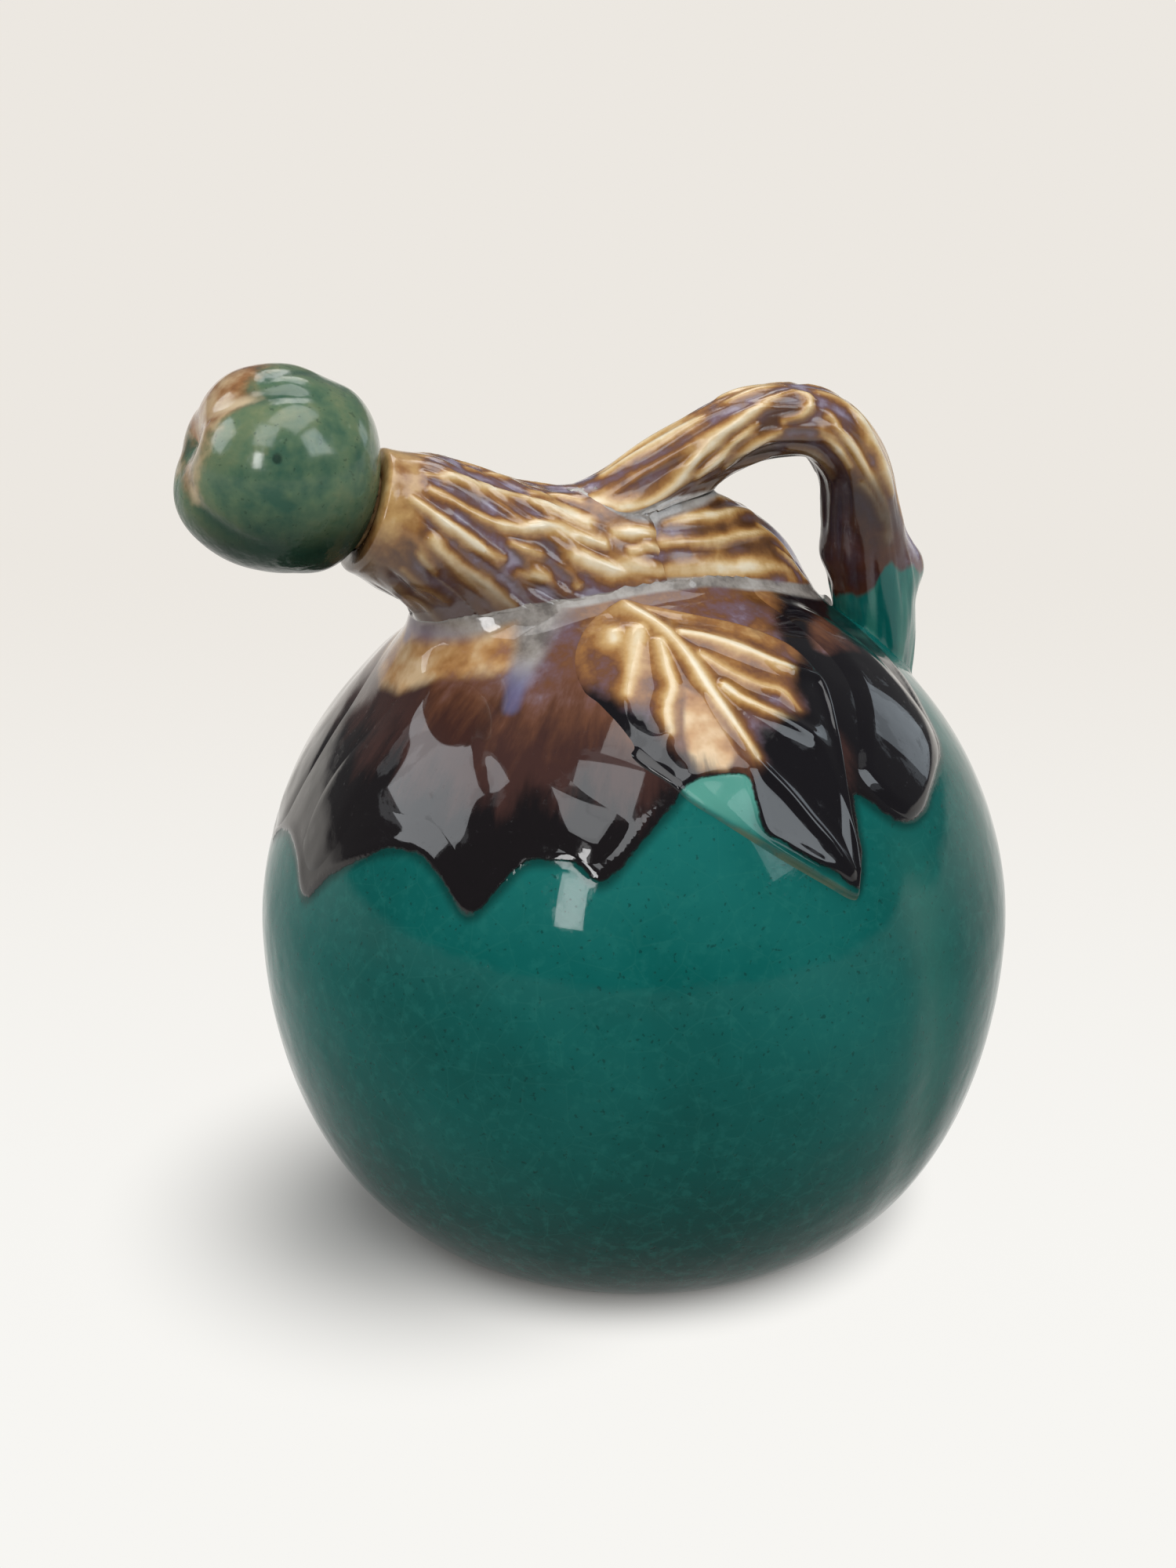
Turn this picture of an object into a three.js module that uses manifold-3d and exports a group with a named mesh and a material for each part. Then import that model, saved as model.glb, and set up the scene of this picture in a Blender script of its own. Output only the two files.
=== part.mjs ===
// Glazed earthenware jug shaped like a round fruit, with a branch for a spout, a branch for a handle,
// leaves laid over the shoulder and a small fruit on a cork as its stopper.
// Millimetres, +Z up. The origin is the middle of the foot, the spout points to -X and the handle to +X.
import * as THREE from "three";
import { mergeVertices } from "three/addons/utils/BufferGeometryUtils.js";
import Module from "manifold-3d";

const wasm = await Module();
wasm.setup();

// Slip line left between two luted pieces.
const jointGap = 0.3;

// Vessel.
const bodyRadius = 90;
const bellyHeight = 73.8;
const crownHeight = 161.5;
const footRadius = 50;
const shoulderPower = 1.92;
const wall = 5;

// Spout branch: heights are rises above the crown of the vessel.
const spoutReach = 64.2;
const mouthRise = 18.4;
const spoutSlope = THREE.MathUtils.degToRad(22.4);
const mouthRadius = 14.3;
const mouthRound = 1.2;
const boreRadius = 9.3;
const boreStraight = 30;
const boreDropInset = 10;
const branchRadius = 16.6;
const branchRise = -1.1;
const branchEnd = 2.5;
const branchLevelRun = 28;
const branchRisingRun = 19;

// Cut stump at the handle end of the branch.
const stumpCentre = 6;
const stumpReach = 43;
const stumpRise = 16;
const stumpSink = 15;
const stumpHalfWidth = 17;

// Handle branch.
const handleReach = 62.5;
const handleRise = 30.4;
const handleRootInset = 12;
const handleRootRise = 9;
const handleRadius = 8.1;
const handleKnotRadius = 10;
const handleFootRadius = 8.2;
const handleBite = 12;
const knotRadius = 5.2;
const innerKnotRise = 1.6;
const outerKnotRise = 3.2;

// Leaves: reaches are distances of the tips from the crown, measured down the outside.
const leafReach = 106;
const spoutLeafReach = 115;
const handleLeafReach = 93;
const leafThickness = 2.2;
const veinRadius = 1.5;
const veinSink = 0.4;

// Bark ridges of both branches.
const barkRidges = 7;
const barkDepth = 0.6;
const barkWave = 1.1;
const barkWaves = 7;
const barkLean = 3;

// Stopper.
const fruitRadius = 22.8;
const fruitHalfLength = 22.2;
const fruitBaseRadius = 10;
const fruitWall = 4.5;
const fruitLobes = 5;
const lobeDepth = 0.05;
const dimpleDepth = 3;
const dimpleRadius = 6;
const fruitOffset = 2.5;
const fruitOffsetRun = 12;
const seatGap = 0.8;
const tangRadius = 4.6;
const tangBore = 1.6;
const tangLength = 13;
const corkLength = 20;
const corkTaper = 0.9;
const corkChamfer = 0.8;

// Facet counts.
const vesselSides = 48;
const hollowSides = 24;
const hollowStride = 2;
const profileSteps = 12;
const branchSides = 28;
const branchSteps = 18;
const handleSteps = 26;
const boreSteps = 10;
const stumpSteps = 16;
const knotSides = 12;
const knotSteps = 8;
const boreSides = 18;
const fruitSides = 30;
const fruitSteps = 14;
const outlineSteps = 44;
const veinSteps = 8;

// Closed geometry to a solid for cutting and joining, and back.
function toSolid(geometry) {
  const bare = new THREE.BufferGeometry();
  bare.setAttribute("position", geometry.getAttribute("position"));
  bare.setIndex(geometry.getIndex());
  const merged = mergeVertices(bare, 1e-4);
  const corners = merged.getIndex().array;
  const triVerts = [];
  for (let i = 0; i < corners.length; i += 3) {
    const [a, b, c] = corners.slice(i, i + 3);
    if (a !== b && b !== c && c !== a) triVerts.push(a, b, c);
  }
  const mesh = new wasm.Mesh({
    numProp: 3,
    vertProperties: merged.getAttribute("position").array,
    triVerts: Uint32Array.from(triVerts),
  });
  return new wasm.Manifold(mesh);
}

function toGeometry(solid) {
  const { vertProperties, triVerts } = solid.getMesh();
  const geometry = new THREE.BufferGeometry();
  geometry.setAttribute("position", new THREE.BufferAttribute(vertProperties, 3));
  geometry.setIndex(new THREE.BufferAttribute(triVerts, 1));
  geometry.computeVertexNormals();
  return geometry;
}

function cut(solid, ...cutters) {
  return cutters.reduce((left, cutter) => left.subtract(cutter), solid);
}

// Turns a profile of [radius, height] points about the Z axis.
function revolve(profile, sides) {
  const points = profile.map(([radius, height]) => new THREE.Vector2(radius, height));
  const geometry = new THREE.LatheGeometry(points, sides);
  return geometry.rotateX(Math.PI / 2);
}

// Skin over rings of equal point counts, closed at both ends by fans.
function skin(rings) {
  const count = rings[0].length;
  const positions = rings.flat().flatMap((point) => point.toArray());
  const indices = [];
  for (let ring = 0; ring + 1 < rings.length; ring += 1) {
    for (let side = 0; side < count; side += 1) {
      const a = ring * count + side;
      const b = ring * count + ((side + 1) % count);
      indices.push(a, a + count, b, b, a + count, b + count);
    }
  }
  for (const [ring, first] of [[0, true], [rings.length - 1, false]]) {
    const middle = positions.length / 3;
    const sum = rings[ring].reduce((total, point) => total.add(point), new THREE.Vector3());
    positions.push(...sum.divideScalar(count).toArray());
    for (let side = 0; side < count; side += 1) {
      const a = ring * count + side;
      const b = ring * count + ((side + 1) % count);
      indices.push(...(first ? [middle, a, b] : [middle, b, a]));
    }
  }
  const geometry = new THREE.BufferGeometry();
  geometry.setAttribute("position", new THREE.Float32BufferAttribute(positions, 3));
  geometry.setIndex(indices);
  return geometry;
}

// Round limb along a path in the XZ plane. radiusAt takes the share of the way and the angle around it.
function limb(centres, sides, radiusAt) {
  const across = new THREE.Vector3(0, 1, 0);
  const rings = centres.map((centre, i) => {
    const before = centres[Math.max(i - 1, 0)];
    const after = centres[Math.min(i + 1, centres.length - 1)];
    const along = new THREE.Vector3().subVectors(after, before).normalize();
    const up = new THREE.Vector3().crossVectors(along, across);
    const ring = [];
    for (let side = 0; side < sides; side += 1) {
      const angle = (side / sides) * 2 * Math.PI;
      const radius = radiusAt(i / (centres.length - 1), angle);
      const point = centre.clone().addScaledVector(up, radius * Math.cos(angle));
      ring.push(point.addScaledVector(across, radius * Math.sin(angle)));
    }
    return ring;
  });
  return skin(rings);
}

function atCrown(x, rise) {
  return new THREE.Vector3(x, 0, crownHeight + rise);
}

function bark(share, angle) {
  const wander = barkWave * Math.sin(barkWaves * share) + barkLean * share;
  return barkDepth * Math.cos(barkRidges * angle + wander);
}

// Vessel profile from the crown down to the foot: a superellipse shoulder over a quarter-ellipse flank,
// as [radius, height, normal across, normal up].
function vesselCurve() {
  const points = [];
  const shoulder = crownHeight - bellyHeight;
  for (let i = 0; i <= profileSteps; i += 1) {
    const turn = (Math.PI / 2) * (1 - i / profileSteps);
    const across = Math.max(Math.cos(turn), 0) ** (2 / shoulderPower);
    const up = Math.sin(turn) ** (2 / shoulderPower);
    const normal = [across ** (shoulderPower - 1) / bodyRadius, up ** (shoulderPower - 1) / shoulder];
    const length = Math.hypot(...normal);
    points.push([bodyRadius * across, bellyHeight + shoulder * up, normal[0] / length, normal[1] / length]);
  }
  for (let i = 1; i <= profileSteps; i += 1) {
    const turn = (Math.PI / 2) * (i / profileSteps);
    const flank = bodyRadius - footRadius;
    const normal = [Math.cos(turn) / flank, -Math.sin(turn) / bellyHeight];
    const length = Math.hypot(...normal);
    const radius = footRadius + flank * Math.cos(turn);
    points.push([radius, bellyHeight * (1 - Math.sin(turn)), normal[0] / length, normal[1] / length]);
  }
  return points;
}

const curve = vesselCurve();

// The profile moved out by an offset, closed over the axis at the foot, from the foot up.
function offsetProfile(offset) {
  const outer = curve.map(([radius, height, across, up]) => [radius + offset * across, height + offset * up]);
  outer[0][0] = 0;
  outer.push([0, -offset]);
  return outer.reverse();
}

// Point on the vessel at an azimuth and a distance from the crown, measured down the outside.
function onVessel(azimuth, distance, offset) {
  const stepLength = (i) => Math.hypot(curve[i + 1][0] - curve[i][0], curve[i + 1][1] - curve[i][1]);
  let i = 0;
  let left = distance;
  while (i < curve.length - 2 && left > stepLength(i)) {
    left -= stepLength(i);
    i += 1;
  }
  const share = left / stepLength(i);
  const [r, z, across, up] = curve[i].map((value, k) => THREE.MathUtils.lerp(value, curve[i + 1][k], share));
  const radius = r + offset * across;
  return new THREE.Vector3(radius * Math.cos(azimuth), radius * Math.sin(azimuth), z + offset * up);
}

// Height of the outside of the shoulder at a distance from the axis.
function shoulderHeight(radius) {
  const share = (1 - (radius / bodyRadius) ** shoulderPower) ** (1 / shoulderPower);
  return bellyHeight + (crownHeight - bellyHeight) * share;
}

// Spout branch: leaves the crown level and rises to the mouth.
const spoutOut = new THREE.Vector3(-Math.cos(spoutSlope), 0, Math.sin(spoutSlope));
const mouth = atCrown(-spoutReach, mouthRise);
const branchLine = new THREE.CubicBezierCurve3(
  atCrown(branchEnd, branchRise),
  atCrown(branchEnd - branchLevelRun, branchRise),
  mouth.clone().addScaledVector(spoutOut, -branchRisingRun),
  mouth,
);

function branchSolid(grow) {
  const centres = branchLine.getSpacedPoints(branchSteps);
  const rim = centres.pop();
  centres.push(rim.clone().addScaledVector(spoutOut, -mouthRound), rim);
  centres[0].x += grow;
  const taperFrom = 0.78;
  const barkTo = 0.88;
  const radiusAt = (share, angle) => {
    const taper = THREE.MathUtils.smoothstep(share, taperFrom, 1);
    const fade = 1 - THREE.MathUtils.smoothstep(share, barkTo, 1);
    const edge = share === 1 ? mouthRound : 0;
    return THREE.MathUtils.lerp(branchRadius, mouthRadius, taper) - edge + fade * bark(share, angle) + grow;
  };
  return toSolid(limb(centres, branchSides, radiusAt));
}

// Bore: straight behind the mouth for the cork, then bending down into the vessel.
function channelSolid() {
  const outside = mouth.clone().addScaledVector(spoutOut, 2 * mouthRound);
  const bend = mouth.clone().addScaledVector(spoutOut, -boreStraight);
  const fall = (bend.x + boreDropInset) * Math.tan(spoutSlope);
  const corner = new THREE.Vector3(-boreDropInset, 0, bend.z + fall);
  const inside = atCrown(-boreDropInset, -wall - 2 * boreRadius);
  const drop = new THREE.QuadraticBezierCurve3(bend, corner, inside);
  const centres = [outside, ...drop.getSpacedPoints(boreSteps)];
  return toSolid(limb(centres, boreSides, () => boreRadius));
}

// Rounded end of the cut branch, half sunk in the crown.
function stumpSolid(grow) {
  const geometry = new THREE.SphereGeometry(1, branchSides, stumpSteps);
  geometry.scale(stumpReach - stumpCentre + grow, stumpHalfWidth + grow, stumpRise + stumpSink + grow);
  const place = atCrown(stumpCentre, -stumpSink);
  return toSolid(geometry.translate(place.x, place.y, place.z));
}

// Handle branch: an arch from the top of the spout branch that turns down to the shoulder.
// The arch is given as shares of its reach and of its rise.
const archShape = [[0.03, 0.59], [0.33, 0.91], [0.54, 1], [0.725, 0.93], [0.858, 0.62], [0.92, 0.13]];
const handleLine = new THREE.CatmullRomCurve3([
  atCrown(-handleRootInset, handleRootRise),
  ...archShape.map(([across, up]) => atCrown(handleReach * across, handleRise * up)),
  atCrown(handleReach, shoulderHeight(handleReach) - crownHeight + handleFootRadius / 2),
  atCrown(handleReach, shoulderHeight(handleReach) - crownHeight - handleBite),
]);

function handleSolid(grow) {
  const swellFrom = 0.5;
  const swellTo = 0.76;
  const taperFrom = 0.8;
  const radiusAt = (share, angle) => {
    const swell = THREE.MathUtils.smoothstep(share, swellFrom, swellTo);
    const taper = THREE.MathUtils.smoothstep(share, taperFrom, 1);
    const upper = THREE.MathUtils.lerp(handleRadius, handleKnotRadius, swell);
    return THREE.MathUtils.lerp(upper, handleFootRadius, taper) + bark(share, angle) + grow;
  };
  return toSolid(limb(handleLine.getSpacedPoints(handleSteps), branchSides, radiusAt));
}

// Pruned twig on the handle: its place as a share of the way, the side it grows on, and how far it stands out.
function knotSolid(share, side, proud) {
  const along = handleLine.getTangentAt(share);
  const outward = new THREE.Vector3(along.z, 0, -along.x).multiplyScalar(side);
  const place = handleLine.getPointAt(share);
  place.addScaledVector(outward, handleKnotRadius + proud - knotRadius);
  const geometry = new THREE.SphereGeometry(knotRadius, knotSides, knotSteps);
  return toSolid(geometry.translate(place.x, place.y, place.z));
}

// Leaf outlines and veins on the front of the jug, as [azimuth in degrees, share of the leaf's reach].
const leaves = [
  {
    name: "leaf",
    reach: leafReach,
    outline: [
      [-112, 0.21], [-135, 0.32], [-131, 0.46], [-119, 0.54], [-114, 0.6], [-108, 0.7],
      [-97, 0.81], [-84, 0.92], [-74, 1], [-69, 0.83], [-65, 0.66], [-59, 0.49], [-55, 0.36], [-64, 0.25],
    ],
    veins: [
      [[-115, 0.26], [-95, 0.44], [-88, 0.58], [-85, 0.72], [-76, 0.93]],
      [[-101, 0.38], [-84, 0.45], [-69, 0.57]],
      [[-89, 0.57], [-80, 0.64], [-73, 0.75]],
      [[-101, 0.38], [-114, 0.44], [-123, 0.47]],
      [[-89, 0.57], [-97, 0.65], [-101, 0.72]],
    ],
  },
  {
    name: "spout_leaf",
    reach: spoutLeafReach,
    outline: [
      [-172, 0.35], [-177, 0.61], [-177, 0.92], [-168, 1], [-157, 0.88], [-146, 0.83], [-135, 0.9],
      [-127, 0.81], [-115, 0.82], [-107, 0.71], [-117, 0.61], [-126, 0.52], [-139, 0.48],
      [-147, 0.38], [-156, 0.3],
    ],
    veins: [
      [[-160, 0.38], [-162, 0.61], [-167, 0.92]],
      [[-157, 0.45], [-143, 0.61], [-135, 0.83]],
      [[-151, 0.52], [-134, 0.63], [-119, 0.75]],
    ],
  },
  {
    name: "handle_leaf",
    reach: handleLeafReach,
    outline: [
      [-42, 0.3], [-51, 0.58], [-61, 0.74], [-66, 0.86], [-58, 1],
      [-46, 0.97], [-34, 0.89], [-27, 0.74], [-22, 0.59], [-24, 0.37],
    ],
    veins: [
      [[-36, 0.37], [-42, 0.65], [-56, 0.92]],
      [[-42, 0.65], [-50, 0.71], [-58, 0.8]],
      [[-40, 0.56], [-34, 0.65], [-31, 0.77]],
    ],
  },
];

function polar([degrees, share], reach, side) {
  const azimuth = THREE.MathUtils.degToRad(degrees) * side;
  const distance = share * reach;
  return new THREE.Vector3(distance * Math.cos(azimuth), distance * Math.sin(azimuth), 0);
}

// Sheet of clay that the leaves are cut from, laid round the vessel.
function leafSheet() {
  const under = offsetProfile(jointGap).slice(2, -1);
  const over = offsetProfile(jointGap + leafThickness).slice(2, -1);
  const loop = [...over, ...under.reverse()];
  return toSolid(revolve([...loop, loop[0]], vesselSides));
}

// Cone from the heart of the vessel through a leaf's outline.
function leafCutter(outline, reach, side) {
  const overshoot = 1.5;
  const heart = new THREE.Vector3(0, 0, bellyHeight);
  const closed = new THREE.CatmullRomCurve3(outline.map((point) => polar(point, reach, side)), true);
  const flat = closed.getSpacedPoints(outlineSteps).slice(0, -1);
  if (THREE.ShapeUtils.isClockWise(flat)) flat.reverse();
  const rim = flat.map((point) => {
    const place = onVessel(Math.atan2(point.y, point.x), Math.hypot(point.x, point.y), 0);
    return place.sub(heart).multiplyScalar(overshoot).add(heart);
  });
  const indices = THREE.ShapeUtils.triangulateShape(flat, []).flat();
  for (let i = 0; i < rim.length; i += 1) {
    indices.push(rim.length, (i + 1) % rim.length, i);
  }
  const geometry = new THREE.BufferGeometry().setFromPoints([...rim, heart]);
  geometry.setIndex(indices);
  return toSolid(geometry);
}

// Rib of a leaf: a thin round rod sunk a little in the sheet.
function veinSolid(points, reach, side) {
  const flat = new THREE.CatmullRomCurve3(points.map((point) => polar(point, reach, side)));
  const places = flat.getSpacedPoints(veinSteps).map((place) => {
    return onVessel(Math.atan2(place.y, place.x), place.length(), jointGap + leafThickness - veinSink);
  });
  const section = new THREE.Shape().absellipse(0, 0, veinRadius, veinRadius, 0, 2 * Math.PI);
  const extrudePath = new THREE.CatmullRomCurve3(places);
  return toSolid(new THREE.ExtrudeGeometry(section, { steps: veinSteps, curveSegments: 3, extrudePath }));
}

// Stopper fruit, upright on the mouth: tang below, flattened base, five soft lobes and a calyx dimple.
function fruitProfile(inset, tang, end, dimple) {
  const radius = fruitRadius - inset;
  const half = fruitHalfLength - inset;
  const baseTurn = Math.acos(fruitBaseRadius / fruitRadius);
  const middle = seatGap + fruitHalfLength * Math.sin(baseTurn);
  const from = -Math.acos(Math.max(tang, fruitBaseRadius - inset) / radius);
  const points = [[0, end], [tang, end], [tang, middle + half * Math.sin(from)]];
  for (let i = 0; i <= fruitSteps; i += 1) {
    const turn = THREE.MathUtils.lerp(from, Math.PI / 2, i / fruitSteps);
    const across = i === fruitSteps ? 0 : radius * Math.cos(turn);
    const dip = turn > 0 ? dimple * Math.exp(-((across / dimpleRadius) ** 2)) : 0;
    points.push([across, middle + half * Math.sin(turn) - dip]);
  }
  return points;
}

function lobed(geometry) {
  const position = geometry.getAttribute("position");
  for (let i = 0; i < position.count; i += 1) {
    const x = position.getX(i);
    const y = position.getY(i);
    const full = THREE.MathUtils.smoothstep(Math.hypot(x, y), fruitBaseRadius, fruitRadius);
    const crease = (0.5 + 0.5 * Math.cos(fruitLobes * Math.atan2(y, x))) ** 3;
    const scale = 1 - lobeDepth * full * crease;
    position.setXY(i, x * scale, y * scale);
  }
  return geometry;
}

// The fruit swells out higher than the axis of its tang.
function offAxis(geometry) {
  const position = geometry.getAttribute("position");
  for (let i = 0; i < position.count; i += 1) {
    const share = THREE.MathUtils.smoothstep(position.getZ(i), seatGap, seatGap + fruitOffsetRun);
    position.setX(i, position.getX(i) + fruitOffset * share);
  }
  return geometry;
}

function fruitSolid() {
  const outside = lobed(revolve(fruitProfile(0, tangRadius, -tangLength, dimpleDepth), fruitSides));
  const inside = revolve(fruitProfile(fruitWall, tangBore, -2 * tangLength, dimpleDepth), boreSides);
  return cut(toSolid(offAxis(outside)), toSolid(offAxis(inside)));
}

// Cork: a tapered plug with a blind hole for the tang, a slip line under the fruit.
function corkSolid() {
  const top = seatGap - jointGap;
  const radius = boreRadius - jointGap;
  const hole = tangRadius + jointGap;
  const foot = radius - corkTaper;
  return toSolid(revolve([
    [0, top - corkLength],
    [foot - corkChamfer, top - corkLength],
    [foot, top - corkLength + corkChamfer],
    [radius, top - corkChamfer],
    [radius - corkChamfer, top],
    [hole, top],
    [hole, -tangLength - jointGap],
    [0, -tangLength - jointGap],
  ], fruitSides));
}

function glazed(color, roughness) {
  return new THREE.MeshStandardMaterial({ color, roughness, metalness: 0 });
}

function matt(color) {
  return new THREE.MeshStandardMaterial({ color, roughness: 0.9, metalness: 0 });
}

function part(name, solid, material) {
  const mesh = new THREE.Mesh(toGeometry(solid), material);
  mesh.name = name;
  return mesh;
}

// Pieces are cut in the order in which they are luted on: vessel, branch, stump, handle, leaves.
const jug = new THREE.Group();
const channel = channelSolid();
const vessel = toSolid(revolve(offsetProfile(0), vesselSides));
const hollowProfile = offsetProfile(-wall).filter((point, i) => point[0] === 0 || i % hollowStride === 1);
const hollow = toSolid(revolve(hollowProfile, hollowSides));
const vesselGrown = toSolid(revolve(offsetProfile(jointGap), vesselSides));
const branchGrown = branchSolid(jointGap);
const stumpGrown = stumpSolid(jointGap);
const handleGrown = handleSolid(jointGap);
jug.add(part("gourd_body", cut(vessel, hollow, channel), glazed(0x1f4a42, 0.18)));
jug.add(part("spout_branch", cut(branchSolid(0), vesselGrown, channel), glazed(0xb58a58, 0.3)));
jug.add(part("branch_stump", cut(stumpSolid(0), vesselGrown, branchGrown), glazed(0xa0764c, 0.3)));

const knots = [[0.72, 1, innerKnotRise], [0.785, -1, outerKnotRise]];
const handle = knots.reduce((solid, knot) => solid.add(knotSolid(...knot)), handleSolid(0));
jug.add(part("handle_branch", cut(handle, vesselGrown, branchGrown, stumpGrown), glazed(0xb88d5d, 0.3)));

const sheet = leafSheet();
for (const [half, side] of [["front", 1], ["back", -1]]) {
  for (const { name, reach, outline, veins } of leaves) {
    const blade = sheet.intersect(leafCutter(outline, reach, side));
    const ribbed = veins.reduce((solid, vein) => solid.add(veinSolid(vein, reach, side)), blade);
    const laid = cut(ribbed, branchGrown, stumpGrown, handleGrown);
    jug.add(part(`${half}_${name}`, laid, glazed(0x3a2418, 0.2)));
  }
}

const stopper = new THREE.Group();
stopper.position.copy(mouth);
stopper.rotation.y = spoutSlope - Math.PI / 2;
stopper.add(part("stopper_fruit", fruitSolid(), glazed(0x7e9479, 0.22)));
stopper.add(part("stopper_cork", corkSolid(), matt(0x9a7048)));
jug.add(stopper);

export default jug;
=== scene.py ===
import math

import bmesh
import bpy
import numpy as np
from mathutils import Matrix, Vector


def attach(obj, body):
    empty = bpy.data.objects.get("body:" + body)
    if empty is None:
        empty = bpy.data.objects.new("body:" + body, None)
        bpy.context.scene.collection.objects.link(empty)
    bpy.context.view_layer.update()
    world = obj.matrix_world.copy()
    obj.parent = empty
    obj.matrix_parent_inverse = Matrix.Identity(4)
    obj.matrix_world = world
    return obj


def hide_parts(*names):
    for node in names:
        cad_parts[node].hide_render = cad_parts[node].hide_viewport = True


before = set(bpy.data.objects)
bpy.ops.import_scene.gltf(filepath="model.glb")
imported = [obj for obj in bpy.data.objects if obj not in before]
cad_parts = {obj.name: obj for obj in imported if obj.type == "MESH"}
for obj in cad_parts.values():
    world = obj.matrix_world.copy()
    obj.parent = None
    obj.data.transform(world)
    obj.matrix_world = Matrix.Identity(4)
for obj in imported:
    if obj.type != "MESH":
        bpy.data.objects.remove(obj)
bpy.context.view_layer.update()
scene = bpy.context.scene
print("frame loaded:", len(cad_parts), "nodes")


# Shapes are worked out in millimetres and written to the meshes in metres.
toMetres = 0.001
toMillimetres = 1000
meshFinish = dict(weld=2e-6, sharpFrom=55)


def ease(value, low, high):
    share = np.clip((value - low) / (high - low), 0, 1)
    return share * share * (3 - 2 * share)


# Soft hump of height 1 that falls off over a width.
def hump(offset, width):
    return np.exp(-((offset / width) ** 2))


# Angle brought to within half a turn of zero.
def wrapped(angle):
    return np.angle(np.exp(1j * angle))


def ring(radius, turn, height):
    return np.column_stack([radius * np.cos(turn), radius * np.sin(turn), height + 0 * turn])


# Smooth curve through given points, with steps from each to the next.
curveSteps = dict(cap=4, stripe=6, ridge=6, outline=16, midrib=12, rib=8)


def curveThrough(points, steps, closed=False):
    points = np.asarray(points, float)
    if closed:
        guides = np.vstack([points[-1:], points, points[:2]])
    else:
        guides = np.vstack([2 * points[0] - points[1], points, 2 * points[-1] - points[-2]])
    share = np.linspace(0, 1, steps, endpoint=False)[:, None]
    spans = []
    for a, b, c, d in zip(guides, guides[1:], guides[2:], guides[3:]):
        bend = (2 * a - 5 * b + 4 * c - d) * share**2 + (3 * b - a - 3 * c + d) * share**3
        spans.append(b + 0.5 * ((c - a) * share + bend))
    if not closed:
        spans.append(points[-1:])
    return np.vstack(spans)


# The same line in steps of equal length.
def evenly(line, count):
    steps = np.linalg.norm(np.diff(line, axis=0), axis=1)
    length = np.concatenate([[0], np.cumsum(steps)])
    places = np.linspace(0, length[-1], count)
    return np.column_stack([np.interp(places, length, line[:, k]) for k in range(line.shape[1])])


# Distance to a line, and the share of the line passed at its nearest point.
def lineDistance(points, line):
    best = np.full(len(points), np.inf)
    share = np.zeros(len(points))
    count = len(line) - 1
    for i, (a, b) in enumerate(zip(line, line[1:])):
        run = b - a
        t = np.clip((points - a) @ run / max(run @ run, 1e-9), 0, 1)
        gap = np.linalg.norm(points - a - t[:, None] * run, axis=1)
        nearer = gap < best
        best[nearer] = gap[nearer]
        share[nearer] = (i + t[nearer]) / count
    return best, share


# Distance to a closed outline, positive inside it.
def insideDistance(points, outline):
    loop = np.vstack([outline, outline[:1]])
    gap, _ = lineDistance(points, loop)
    inside = np.zeros(len(points), bool)
    x, y = points[:, 0], points[:, 1]
    for (ax, ay), (bx, by) in zip(loop, loop[1:]):
        if ay == by:
            continue
        crosses = (ay > y) != (by > y)
        inside ^= crosses & (x < ax + (y - ay) * (bx - ax) / (by - ay))
    return np.where(inside, gap, -gap)


# The shoulder is laid flat as a map about the crown: azimuth, and distance down the outside.
def mapped(points, side=1):
    points = np.asarray(points, float)
    turn = np.radians(points[:, 0]) * side
    return np.column_stack([points[:, 1] * np.cos(turn), points[:, 1] * np.sin(turn)])


def gridFaces(rows, columns, loop):
    i = np.arange(rows - 1)[:, None] * columns
    j = np.arange(columns if loop else columns - 1)[None, :]
    k = (j + 1) % columns
    return np.stack([i + j, i + k, i + columns + k, i + columns + j], axis=-1).reshape(-1, 4)


def makePiece(name, points, faces, marks, material):
    mesh = bpy.data.meshes.new(name)
    mesh.from_pydata((points * toMetres).tolist(), [], [list(face) for face in faces])
    setMarks(mesh, marks)
    return finishMesh(name, mesh, material)


def setMarks(mesh, marks):
    for key, values in marks.items():
        layer = mesh.attributes.get(key) or mesh.attributes.new(key, "FLOAT", "POINT")
        layer.data.foreach_set("value", np.asarray(values, np.float32))


def faceOutward(mesh, weld=0.0):
    bm = bmesh.new()
    bm.from_mesh(mesh)
    if weld:
        bmesh.ops.remove_doubles(bm, verts=bm.verts, dist=weld)
    bmesh.ops.recalc_face_normals(bm, faces=bm.faces)
    bm.to_mesh(mesh)
    bm.free()


def finishMesh(name, mesh, material):
    faceOutward(mesh, meshFinish["weld"])
    mesh.materials.clear()
    mesh.materials.append(material)
    mesh.polygons.foreach_set("use_smooth", np.ones(len(mesh.polygons), bool))
    mesh.set_sharp_from_angle(angle=math.radians(meshFinish["sharpFrom"]))
    piece = bpy.data.objects.new(name, mesh)
    scene.collection.objects.link(piece)
    print("piece:", name, len(mesh.vertices), "vertices")
    return piece


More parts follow.
